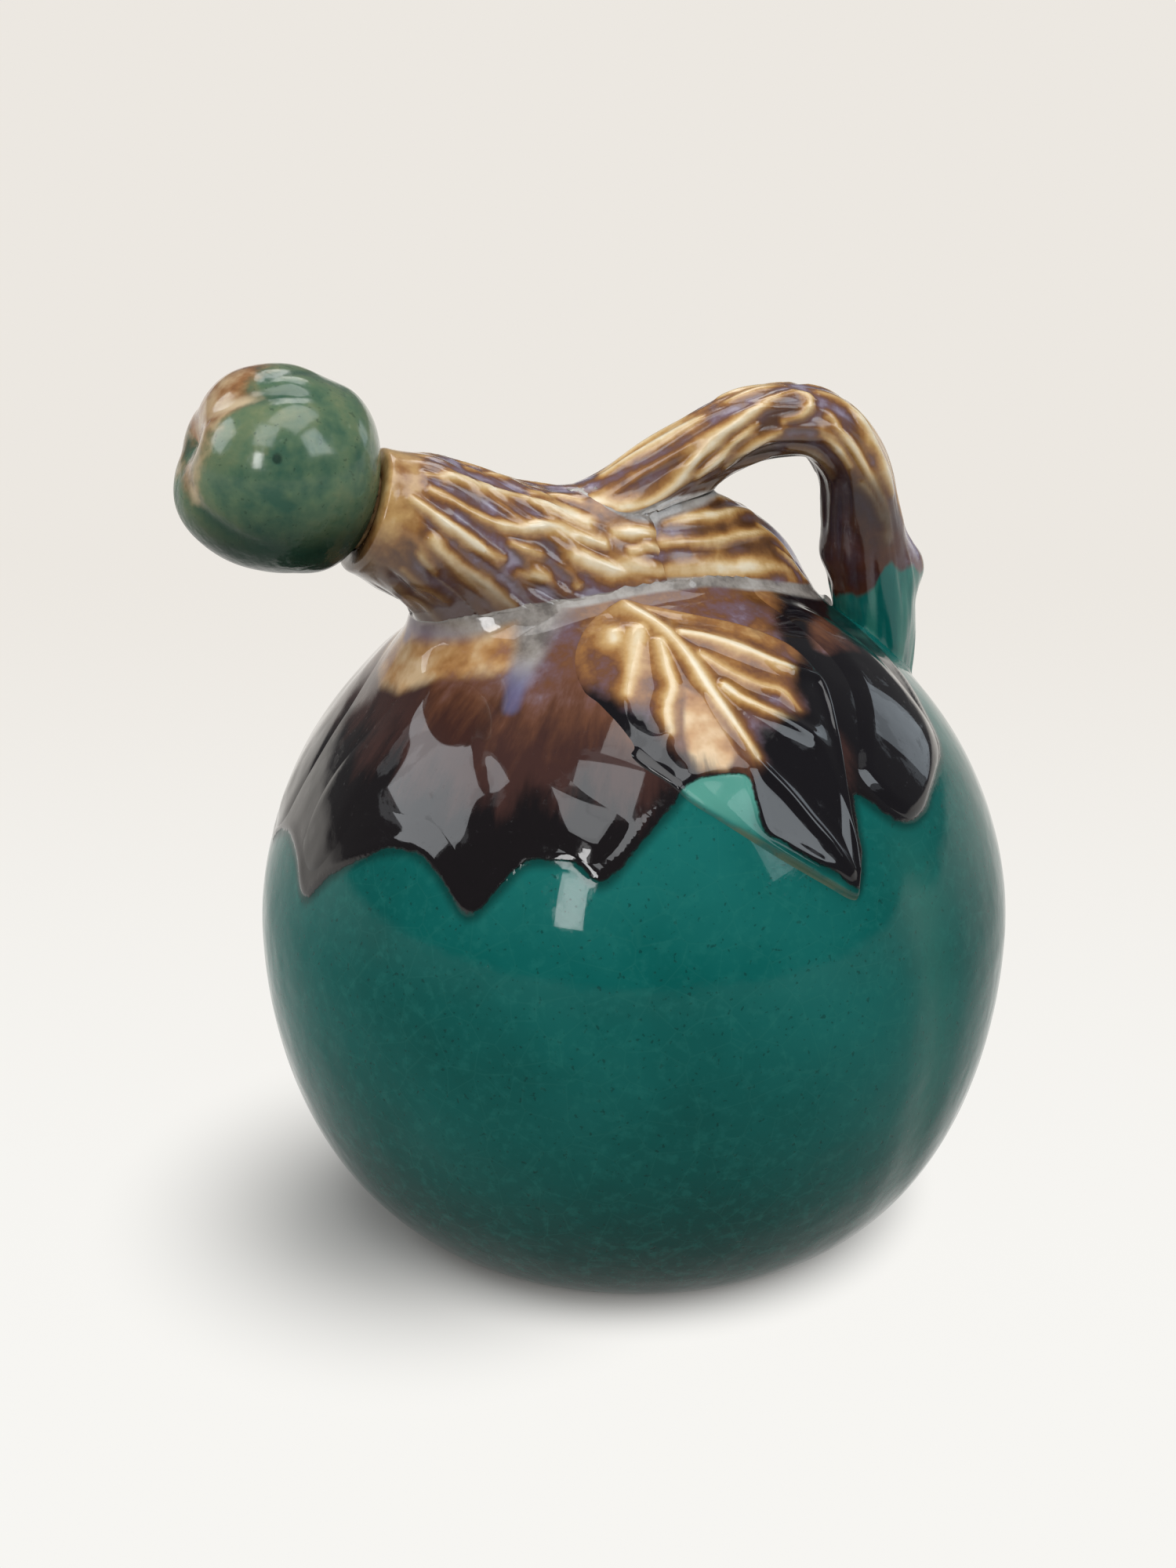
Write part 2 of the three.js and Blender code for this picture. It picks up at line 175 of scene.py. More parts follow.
# One wrapper for the sockets of shader and geometry trees.
class Wire:
    def __init__(self, tree, socket=None):
        self.tree = tree
        self.socket = socket

    def put(self, kind, settings=None, sockets=None, out=0):
        node = self.tree.nodes.new(kind)
        for key, value in (settings or {}).items():
            if key == "stops":
                self.fillRamp(node.color_ramp, value)
            else:
                setattr(node, key, value)
        for key, value in (sockets or {}).items():
            slot = self.pick(node.inputs, key)
            if isinstance(value, Wire):
                self.tree.links.new(value.socket, slot)
            elif slot.type == "RGBA" and len(value) == 3:
                slot.default_value = (*value, 1)
            else:
                slot.default_value = value
        if not node.outputs:
            return self
        return Wire(self.tree, self.pick(node.outputs, out))

    def pick(self, sockets, key):
        if isinstance(key, int):
            return sockets[key]
        named = [socket for socket in sockets if socket.identifier == key]
        return named[0] if named else sockets[key]

    def fillRamp(self, ramp, stops):
        ramp.elements.remove(ramp.elements[-1])
        ramp.elements[0].position = stops[0][0]
        ramp.elements[0].color = (*stops[0][1], 1)
        for place, colour in stops[1:]:
            ramp.elements.new(place).color = (*colour, 1)

    def out(self, key):
        return Wire(self.tree, self.pick(self.socket.node.outputs, key))

    def sum(self, operation, *values):
        return self.put("ShaderNodeMath", {"operation": operation}, dict(enumerate(values)))

    def __add__(self, other):
        return self.sum("ADD", self, other)

    def __radd__(self, other):
        return self.sum("ADD", other, self)

    def __sub__(self, other):
        return self.sum("SUBTRACT", self, other)

    def __rsub__(self, other):
        return self.sum("SUBTRACT", other, self)

    def __mul__(self, other):
        return self.sum("MULTIPLY", self, other)

    def __rmul__(self, other):
        return self.sum("MULTIPLY", other, self)

    def ease(self, low, high):
        span = {"Value": self, "From Min": low, "From Max": high}
        return self.put("ShaderNodeMapRange", {"interpolation_type": "SMOOTHSTEP"}, span, "Result")

    def swing(self, amount):
        return (self - 0.5) * amount

    def spot(self):
        return self.put("ShaderNodeTexCoord", None, None, "Object")

    def vector(self, operation, other=None, out="Vector"):
        inputs = {0: self} if other is None else {0: self, 1: other}
        return self.put("ShaderNodeVectorMath", {"operation": operation}, inputs, out)

    def mark(self, name):
        return self.put("ShaderNodeAttribute", {"attribute_name": name}, None, "Fac")

    def noise(self, spot, scale, detail=2.0, roughness=0.5):
        settings = {"Vector": spot, "Scale": scale, "Detail": detail, "Roughness": roughness}
        return self.put("ShaderNodeTexNoise", None, settings, "Fac")

    def cells(self, spot, scale, feature="F1"):
        settings = {"Vector": spot, "Scale": scale}
        return self.put("ShaderNodeTexVoronoi", {"feature": feature}, settings, "Distance")

    def ramp(self, stops):
        return self.put("ShaderNodeValToRGB", {"stops": stops}, {"Fac": self}, "Color")

    def blend(self, under, over):
        colours = {"Factor_Float": self, "A_Color": under, "B_Color": over}
        return self.put("ShaderNodeMix", {"data_type": "RGBA"}, colours, "Result_Color")


def newGlaze(name):
    material = bpy.data.materials.new(name)
    material.use_nodes = True
    material.node_tree.nodes.clear()
    return material, Wire(material.node_tree)


def fire(start, look, colour, roughness, height, coat):
    normal = start.put("ShaderNodeBump", None, {
        "Strength": 1.0, "Distance": look["bumpDepth"], "Height": height})
    shader = start.put("ShaderNodeBsdfPrincipled", None, {
        "Base Color": colour, "Roughness": roughness, "Normal": normal, "IOR": look["ior"],
        "Coat Weight": coat, "Coat Roughness": look["coatBlur"], "Coat IOR": 1.5,
    })
    start.put("ShaderNodeOutputMaterial", None, {"Surface": shader})


# Camera and studio.
photoView = dict(
    place=(-183.11, -503.09, 322.09), aim=(-7.715, 11.704, 102.497),
    lens=55.19, sensor=36, clipEnd=40,
)
studio = dict(
    fill=0.15, fillColour=(1.0, 1.0, 1.0), horizon=(0.04, 0.11), aim=(0, 0, 0.09),
    # azimuth, elevation, distance in metres, width, height, radiance, colour
    boxes={
        "rightBox": (-50, 41, 1.25, 0.5, 0.55, 3.8, (0.86, 0.94, 1.0)),
        "topBox": (-40, 76, 1.4, 1.0, 0.85, 2.9, (1.0, 1.0, 1.0)),
        "leftBox": (166, 38, 1.2, 0.62, 0.5, 3.7, (0.93, 0.965, 1.0)),
        "frontBox": (-126, 56, 1.4, 0.46, 0.62, 3.6, (0.95, 0.975, 1.0)),
        "frontPane": (-128, 28, 1.4, 0.2, 0.38, 13.0, (1.0, 1.0, 1.0)),
        "farBox": (16, 20, 1.3, 0.34, 0.4, 1.5, (0.8, 0.91, 1.0)),
        "backBox": (70, 55, 1.3, 0.5, 0.5, 3.0, (1.0, 0.99, 0.97)),
    },
    floorNear=(0.93, 0.92, 0.89), floorFar=(0.84, 0.805, 0.755), floorShade=(0.52, 0.51, 0.49),
    # the floor turns to its far colour along this way, between these distances in metres
    floorHalf=9.0, floorWay=(0.342, 0.94, 0), floorRun=(-0.12, 0.55),
    # the shadow fades out between these distances, from the axis and from a place to its left
    contact=(0.050, 0.078), shadow=(0.005, 0.085), shadowPlace=(-0.055, 0.0, 0.0),
)


def setCamera():
    lens = bpy.data.cameras.new("photoCamera")
    lens.lens = photoView["lens"]
    lens.sensor_width = photoView["sensor"]
    lens.clip_end = photoView["clipEnd"]
    camera = bpy.data.objects.new("photoCamera", lens)
    scene.collection.objects.link(camera)
    place = Vector(photoView["place"]) * toMetres
    aim = Vector(photoView["aim"]) * toMetres
    camera.location = place
    camera.rotation_euler = (aim - place).to_track_quat("-Z", "Y").to_euler()
    scene.camera = camera
    scene.view_settings.view_transform = "Standard"


# Rays from the camera, and rays that gloss or glass sends on.
def viewRays(start):
    seen = start.put("ShaderNodeLightPath", None, None, "Is Camera Ray")
    return seen, seen.out("Is Glossy Ray") + seen.out("Is Transmission Ray")


# The camera sees a pale world everywhere, gloss sees it only near the horizon.
def setWorld():
    world = bpy.data.worlds.new("studioFill")
    world.use_nodes = True
    world.node_tree.nodes.clear()
    start = Wire(world.node_tree)
    way = start.put("ShaderNodeTexCoord", None, None, "Generated")
    low = 1 - start.put("ShaderNodeSeparateXYZ", None, {"Vector": way}, "Z").ease(*studio["horizon"])
    seen, mirrored = viewRays(start)
    fill = start.put("ShaderNodeBackground", None, {
        "Color": studio["fillColour"], "Strength": studio["fill"]})
    pale = start.put("ShaderNodeBackground", None, {"Color": studio["floorFar"], "Strength": 1.0})
    both = start.put("ShaderNodeMixShader", None, {0: seen + mirrored * low, 1: fill, 2: pale})
    start.put("ShaderNodeOutputWorld", None, {"Surface": both})
    scene.world = world


def setLamps():
    for name, (azimuth, elevation, distance, width, height, radiance, tint) in studio["boxes"].items():
        lamp = bpy.data.lights.new(name, "AREA")
        lamp.shape = "RECTANGLE"
        lamp.size = width
        lamp.size_y = height
        lamp.energy = radiance * math.pi * width * height
        lamp.color = tint
        box = bpy.data.objects.new(name, lamp)
        flat = math.cos(math.radians(elevation))
        turn = math.radians(azimuth)
        out = Vector((flat * math.cos(turn), flat * math.sin(turn), math.sin(math.radians(elevation))))
        box.location = Vector(studio["aim"]) + out * distance
        box.rotation_euler = out.to_track_quat("Z", "Y").to_euler()
        scene.collection.objects.link(box)


# Plain to the camera, but lit paper where the jug's shadow falls.
def setFloor():
    half = studio["floorHalf"]
    mesh = bpy.data.meshes.new("paleFloor")
    corners = [(-half, -half, 0), (half, -half, 0), (half, half, 0), (-half, half, 0)]
    mesh.from_pydata(corners, [], [(0, 1, 2, 3)])
    floor = bpy.data.objects.new("paleFloor", mesh)
    scene.collection.objects.link(floor)
    material, start = newGlaze("palePaper")
    spot = start.spot()
    away = spot.vector("LENGTH", None, "Value")
    aside = spot.vector("DISTANCE", studio["shadowPlace"], "Value")
    behind = spot.vector("DOT_PRODUCT", studio["floorWay"], "Value")
    colour = behind.ease(*studio["floorRun"]).blend(studio["floorNear"], studio["floorFar"])
    lit = start.put("ShaderNodeBsdfPrincipled", None, {
        "Base Color": studio["floorShade"], "Roughness": 0.9, "Specular IOR Level": 0.1})
    plain = start.put("ShaderNodeEmission", None, {"Color": colour, "Strength": 1.0})
    seen, mirrored = viewRays(start)
    clear = away.ease(*studio["contact"]) * aside.ease(*studio["shadow"])
    shader = start.put("ShaderNodeMixShader", None, {0: (seen + mirrored) * clear, 1: lit, 2: plain})
    start.put("ShaderNodeOutputMaterial", None, {"Surface": shader})
    mesh.materials.append(material)


setCamera()
setWorld()
setLamps()
setFloor()
print("studio set")


# Vessel profile from the crown down to the foot: superellipse shoulder over a quarter-ellipse flank.
vessel = dict(
    radius=90.0, belly=73.8, crown=161.5, foot=50.0, power=1.92, wall=5.0,
    pourHole=10.5, pourCentre=-17.0, centredBy=62.0,
    # faces round it, rings between these distances down the outside, rings of the foot and the inside
    sides=400, bands=(58, 122), bandRings=(30, 70, 62), shoulderSteps=260, flankSteps=200,
    footRings=(44, 36, 24, 10, 0), floorRings=(0, 22, 42), insideRings=34, insideFrom=6,
    # soft furrow and wobble of the casting: where they begin below the crown and end above the foot
    furrowTurn=61, furrowDepth=0.9, furrowWidth=7.5, furrowFrom=(84, 112), furrowTo=(70, 20),
    wobble=0.35, wobbleFrom=(70, 100), wobbleTo=(30, 5),
    relief=0.26,
)
# marks of the unglazed foot and inside; leaves without soot take its mark too
bare = dict(capEdge=-60.0, crownDist=220.0, relief=0.5, soot=-30.0)


def vesselTable():
    turn = np.linspace(math.pi / 2, 0, vessel["shoulderSteps"])
    across = np.clip(np.cos(turn), 0, 1) ** (2 / vessel["power"])
    up = np.sin(turn) ** (2 / vessel["power"])
    shoulder = vessel["crown"] - vessel["belly"]
    flankTurn = np.linspace(0, math.pi / 2, vessel["flankSteps"])[1:]
    flank = vessel["radius"] - vessel["foot"]
    radius = np.concatenate([vessel["radius"] * across, vessel["foot"] + flank * np.cos(flankTurn)])
    height = np.concatenate([vessel["belly"] + shoulder * up, vessel["belly"] * (1 - np.sin(flankTurn))])
    steps = np.hypot(np.diff(radius), np.diff(height))
    down = np.concatenate([[0], np.cumsum(steps)])
    slopeR = np.gradient(radius, down)
    slopeZ = np.gradient(height, down)
    length = np.hypot(slopeR, slopeZ)
    return down, radius, height, -slopeZ / length, slopeR / length


tableDown, tableR, tableZ, tableNr, tableNz = vesselTable()
footDown = tableDown[-1]


def onVessel(flat, lift):
    down = np.hypot(flat[:, 0], flat[:, 1])
    turn = np.arctan2(flat[:, 1], flat[:, 0])
    radius = np.interp(down, tableDown, tableR) + lift * np.interp(down, tableDown, tableNr)
    height = np.interp(down, tableDown, tableZ) + lift * np.interp(down, tableDown, tableNz)
    return np.column_stack([radius * np.cos(turn), radius * np.sin(turn), height])


def shoulderHeight(radius):
    share = (1 - (radius / vessel["radius"]) ** vessel["power"]) ** (1 / vessel["power"])
    return vessel["belly"] + (vessel["crown"] - vessel["belly"]) * share


# Distance and direction from the plain form of each piece, for the fillets of slip where two meet.
def vesselForm(points):
    power = vessel["power"]
    across = np.hypot(points[:, 0], points[:, 1])
    u = np.maximum(across / vessel["radius"], 1e-6)
    v = np.maximum((points[:, 2] - vessel["belly"]) / (vessel["crown"] - vessel["belly"]), 1e-6)
    total = u**power + v**power
    scale = total ** (1 / power - 1)
    slopeR = scale * u ** (power - 1) / vessel["radius"]
    slopeZ = scale * v ** (power - 1) / (vessel["crown"] - vessel["belly"])
    length = np.hypot(slopeR, slopeZ)
    outR = slopeR / length / np.maximum(across, 1e-6)
    way = np.column_stack([outR * points[:, 0], outR * points[:, 1], slopeZ / length])
    return (total ** (1 / power) - 1) / length, way


def limbForm(path, radii):
    def form(points):
        best = np.full(len(points), np.inf)
        way = np.zeros_like(points)
        for a, b, ra, rb in zip(path, path[1:], radii, radii[1:]):
            run = b - a
            share = np.clip((points - a) @ run / (run @ run), 0, 1)
            off = points - a - share[:, None] * run
            length = np.maximum(np.linalg.norm(off, axis=1), 1e-6)
            gap = length - ra - (rb - ra) * share
            nearer = gap < best
            best[nearer] = gap[nearer]
            way[nearer] = off[nearer] / length[nearer, None]
        return best, way
    return form


def eggForm(centre, half, startAt=None):
    centre = np.array(centre)
    half = np.array(half)

    def form(points):
        local = (points - centre) / half
        size = np.maximum(np.linalg.norm(local, axis=1), 1e-6)
        slope = local / half / size[:, None]
        length = np.linalg.norm(slope, axis=1)
        gap, way = (size - 1) / length, slope / length[:, None]
        if startAt is not None:
            before = startAt - points[:, 0]
            outside = before > gap
            gap[outside] = before[outside]
            way[outside] = (-1.0, 0.0, 0.0)
        return gap, way
    return form


# A width is a number, or a function of the place.
def sized(size, points):
    return size(points) if callable(size) else size


# Slip between pieces: how near a neighbour has to be, how the skin lies a hair under it, and the steps taken.
luting = dict(
    deep=2.0, near=(1.5, 8.0), clearOf=1.2, poolFrom=0.2,
    hair=0.1, hairRun=1.2, hairEnds=(2.0, 6.0), steps=9, stride=3, leastSlope=0.2,
    root=2.5, rootSteps=6,
)


# Moves the skin of a piece onto a soft union with its neighbours, each a form, the width of the fillet and of
# the slip pooled there. What lies further than reach inside a neighbour stays, and kept is the share of the
# relief that the slip doesn't drown.
def lute(points, own, neighbours, reach, kept=0.0):
    moved = points.copy()
    pool = np.zeros(len(points))
    start, _ = own(points)
    close = np.zeros(len(points), bool)
    buried = start < -luting["deep"]
    free = np.ones(len(points))
    nearWidths, nearLeast = luting["near"]
    for other, width, slip in neighbours:
        gap, _ = other(points)
        wide = sized(width, points)
        close |= gap < np.maximum(wide * nearWidths, nearLeast)
        buried |= gap < -reach
        if slip:
            free *= ease(gap, 0.0, luting["clearOf"] * wide)
            edge = sized(slip, points)
            pool = np.maximum(pool, 1 - ease(gap, luting["poolFrom"] * edge, edge))
    near = np.flatnonzero(close & ~buried)
    spots = moved[near]
    keep = np.where(start < 0, start, start * (kept + (1 - kept) * free))[near]
    for _ in range(luting["steps"]):
        level, way = own(spots)
        ahead = np.full(len(spots), np.inf)
        plain = level
        for other, width, _ in neighbours:
            gap, side = other(spots)
            wide = sized(width, spots)
            ahead = np.minimum(ahead, gap - plain)
            share = np.clip(0.5 + 0.5 * (gap - level) / wide, 0, 1)
            way = way * share[:, None] + side * (1 - share)[:, None]
            level = gap + (level - gap) * share - wide * share * (1 - share)
        hair = luting["hair"] * np.clip(ahead / luting["hairRun"], -1, 1)
        hair *= 1 - ease(ahead, *luting["hairEnds"])
        step = (keep + hair - level) / np.maximum((way * way).sum(axis=1), luting["leastSlope"])
        spots = spots + np.clip(step, -luting["stride"], luting["stride"])[:, None] * way
    moved[near] = spots
    return moved, pool


# Pulls what reaches through the vessel's wall back into it.
def sinkInWall(points):
    moved = points.copy()
    for _ in range(luting["rootSteps"]):
        gap, way = vesselForm(moved)
        deep = gap < -luting["root"]
        moved[deep] += (-luting["root"] - gap[deep])[:, None] * way[deep]
    return moved


# Branch spout, stump and handle branch.
spout = dict(
    mouth=(-64.2, 0.0, 179.9), slope=22.4, end=2.5, rise=-1.1, levelRun=28.0, risingRun=19.0,
    radius=16.6, mouthRadius=14.3, taperFrom=0.78, lip=1.3, lipSteps=6, pathSteps=(400, 120),
    bore=9.3, boreStart=3, boreStraight=30.0, boreDrop=10.0, boreSteps=(30, 24),
    flare=0.9, flareRun=(-1.2, 0.6),
    # toward the stump the ridges fade and the end of the branch sinks under it
    skinDepth=2.5, ridgesFrom=(0.0, 5.0), endSink=1.1, endRun=(0.5, 4.5),
    # bark tone: base, share of the fine streaks and of the ridges; a paler collar at the mouth; the heights
    # of the normal over which painted shade darkens the underside
    tone=(0.02, 0.24, 0.85), collar=0.36, collarRun=(56.0, 66.0), under=(-0.6, 0.2),
    limb={
        "Rings": 200, "Sides": 160, "Streaks": 5.6, "Streak Run": 46.0, "Ridge Depth": 0.0008, "Twist": -26.0,
        "Seed": 3.7, "Smooth From": 0.058, "Smooth To": 0.066,
    },
    boreLimb={"Rings": 60, "Sides": 64, "Ridge Depth": 0.0, "Smooth From": -2.0, "Smooth To": -1.0},
    # ridges: places along from the crown and degrees from the top to the front; height, width
    ridges=[
        ([(62, 33), (51, 29), (38, 29), (28, 33), (21, 40)], 1.1, 1.5),
        ([(61, 48), (52, 55), (45, 58), (38, 57), (31, 49), (25, 54), (17, 58)], 1.25, 1.6),
        ([(65, 60), (58, 69), (53, 74), (47, 80), (41, 83)], 1.2, 1.5),
        ([(58, 85), (54, 92), (48, 100), (42, 107), (35, 117)], 1.2, 1.8),
        ([(60, 100), (58, 104), (55, 109)], 0.9, 1.3),
        ([(61, 119), (56, 124), (49, 132)], 0.9, 1.4),
        ([(40, 70), (33, 73)], 1.1, 1.4),
        ([(37, 91), (30, 89)], 0.8, 1.8),
        ([(23, 91), (22, 93)], 0.8, 1.6),
        ([(24, 70), (17, 74), (10, 75), (2, 78)], 1.1, 2.5),
        ([(14, 49), (8, 48), (0, 48)], 1.1, 1.7),
        ([(10, 62), (6, 60), (0, 63)], 1.0, 1.6),
        ([(35, 19), (28, 15), (22, 21)], 0.5, 1.5),
        ([(52, 8), (40, 3), (30, 5)], 0.3, 1.5),
        ([(60, 140), (50, 150), (40, 158)], 0.8, 1.5),
        ([(55, 166), (44, 172)], 0.8, 1.5),
    ],
)
stump = dict(
    centre=(6.0, 0.0, 146.5), half=(37.0, 17.0, 31.0), rows=130, sides=200,
    girth=20.0, overlap=8.0, streak=0.2, crease=0.05, creaseTone=0.03, creaseAt=1.0, creaseWidth=1.0,
    # under: the heights of the normal over which painted shade darkens the underside
    tone=(0.03, 0.2, 0.85), under=(-0.75, 0.2),
    ridges=[
        ([(3, 34), (16, 28), (27, 10)], 1.0, 1.6),
        ([(1, 45), (13, 45), (23, 38), (29, 30)], 1.1, 1.5),
        ([(1, 57), (13, 59), (24, 57), (33, 53)], 1.1, 2.4),
        ([(28, 26), (32, 31), (36, 38)], 0.8, 1.3),
        ([(32, 40), (36, 44), (39, 52)], 0.8, 1.3),
        ([(5, 18), (14, 14), (23, 3)], 0.8, 1.4),
    ],
)
arch = dict(
    root=(-12.0, 9.0), reach=62.5, rise=30.4,
    shape=[(0.03, 0.59), (0.33, 0.91), (0.54, 1.0), (0.725, 0.93), (0.858, 0.62), (0.92, 0.13)],
    bite=12.0, radius=8.1, knotGirth=10.0, footRadius=8.2, swell=(0.5, 0.76), taperFrom=0.8,
    # share of the way, side, height of the knot above the bark, run of its flanks
    knots=[(0.72, 1, 1.6, 4.0), (0.785, -1, 3.2, 5.5)], knotRadius=5.2,
    # under: the heights of the normal over which painted shade darkens the underside
    knotReach=9.0, knotSlip=1.0, pathSteps=(40, 160), tone=(0.03, 0.24, 0.85), under=(-0.8, 0.1),
    limb={
        "Rings": 270, "Sides": 112, "Streaks": 3.6, "Streak Run": 40.0, "Ridge Depth": 0.0006, "Twist": -8.0,
        "Seed": 9.2, "Smooth From": 9.0, "Smooth To": 10.0,
    },
    ridges=[
        ([(4, 43), (8, 73), (15, 92), (23, 90), (30, 74), (36, 66), (43, 55), (48, 39), (54, 23)], 1.2, 1.5),
        ([(27, 105), (33, 96), (38, 85), (44, 72)], 1.0, 1.1),
        ([(34, 119), (42, 104), (49, 93)], 0.9, 1.0),
        ([(54, 23), (56.5, 34), (56.5, 52), (54.5, 69), (50, 77)], 1.1, 1.2),
        ([(41, 14), (47, 6), (53, 4)], 0.9, 1.4),
        ([(59, 21), (64, 24), (68, 40), (72, 50), (78, 54), (83, 54)], 1.0, 1.4),
        ([(61, 66), (65, 82), (72, 88), (80, 84), (86, 77), (93, 81)], 0.9, 1.3),
        ([(60, 96), (66, 105), (72, 109)], 0.7, 1.3),
        ([(78, 102), (83, 90), (88, 84)], 0.7, 1.1),
        ([(10, 6), (19, 9), (27, 14), (33, 18)], 0.6, 1.7),
        ([(66, 2), (76, 6), (90, 10)], 0.3, 1.5),
        ([(70, 24), (80, 26), (92, 30)], 0.5, 1.3),
        ([(20, 140), (32, 150), (46, 140)], 0.7, 1.3),
        ([(52, 128), (62, 138), (74, 145)], 0.7, 1.3),
    ],
    # green on the leg: height of its edge, waves of that edge (size, count, phase), rise on the outer side
    dripHeight=151.0, drips=[(2.4, 3, 0.4), (1.4, 7, 1.9)], dripOuter=7.0, legRun=(0.6, 0.7),
    # soot on the leg: height, run, lean inward, and how much of it the outer side lacks
    sootHeight=158.0, sootRun=(-4.0, 14.0), sootLean=20.0, sootLess=0.75, sootTurn=(0.5, 0.9),
)
formStep = 3  # the forms for the fillets take every third step of a path
dry = 60.0  # drip mark where no green runs
boreMark = -1.0  # ridge mark of the bore's wall
spoutOut = np.array([-math.cos(math.radians(spout["slope"])), 0, math.sin(math.radians(spout["slope"]))])
mouth = np.array(spout["mouth"])


def bezier(corners, count):
    t = np.linspace(0, 1, count)[:, None]
    a, b, c, d = (np.array(corner, float) for corner in corners)
    return a * (1 - t) ** 3 + 3 * b * t * (1 - t) ** 2 + 3 * c * t**2 * (1 - t) + d * t**3


def branchPath():
    level = vessel["crown"] + spout["rise"]
    start = (spout["end"], 0, level)
    bend = (spout["end"] - spout["levelRun"], 0, level)
    drawn, even = spout["pathSteps"]
    path = evenly(bezier([start, bend, mouth - spout["risingRun"] * spoutOut, mouth], drawn), even)
    share = np.linspace(0, 1, len(path))
    radii = spout["radius"] + (spout["mouthRadius"] - spout["radius"]) * ease(share, spout["taperFrom"], 1)
    return path, radii


def channelPath():
    straightSteps, dropSteps = spout["boreSteps"]
    across = -spout["boreDrop"]
    bend = mouth - spout["boreStraight"] * spoutOut
    corner = np.array([across, 0, bend[2] + (bend[0] - across) * math.tan(math.radians(spout["slope"]))])
    foot = np.array([across, 0, vessel["crown"] - vessel["wall"] - 2 * spout["bore"]])
    t = np.linspace(0, 1, dropSteps)[:, None]
    drop = bend * (1 - t) ** 2 + 2 * corner * t * (1 - t) + foot * t**2
    straight = np.linspace(mouth + spout["boreStart"] * spoutOut, bend, straightSteps)[:-1]
    return np.vstack([straight, drop])


def handlePath():
    crown = vessel["crown"]
    low = shoulderHeight(arch["reach"])
    points = [(arch["root"][0], 0, crown + arch["root"][1])]
    points += [(x * arch["reach"], 0, crown + z * arch["rise"]) for x, z in arch["shape"]]
    points += [(arch["reach"], 0, low + arch["footRadius"] / 2), (arch["reach"], 0, low - arch["bite"])]
    drawn, even = arch["pathSteps"]
    path = evenly(curveThrough(points, drawn), even)
    share = np.linspace(0, 1, len(path))
    radii = arch["radius"] + (arch["knotGirth"] - arch["radius"]) * ease(share, *arch["swell"])
    radii += (arch["footRadius"] - radii) * ease(share, arch["taperFrom"], 1)
    return path, radii


branchLine, branchRadii = branchPath()
handleLine, handleRadii = handlePath()
branchForm = limbForm(branchLine[::formStep], branchRadii[::formStep])
handleForm = limbForm(handleLine[::formStep], handleRadii[::formStep])
stumpForm = eggForm(stump["centre"], stump["half"])
stumpEnd = eggForm(stump["centre"], stump["half"], spout["end"] - stump["overlap"])


# Geometry Nodes limb: a tube along a path whose fine bark streaks wander, break off and start again.
barkGrain = dict(
    edge=(0.36, 0.64), detail=0.6, roughness=0.45,
    lump=1.6, lumpSwirl=1.4, lumpRun=60.0, lumpSeed=11.0,
)


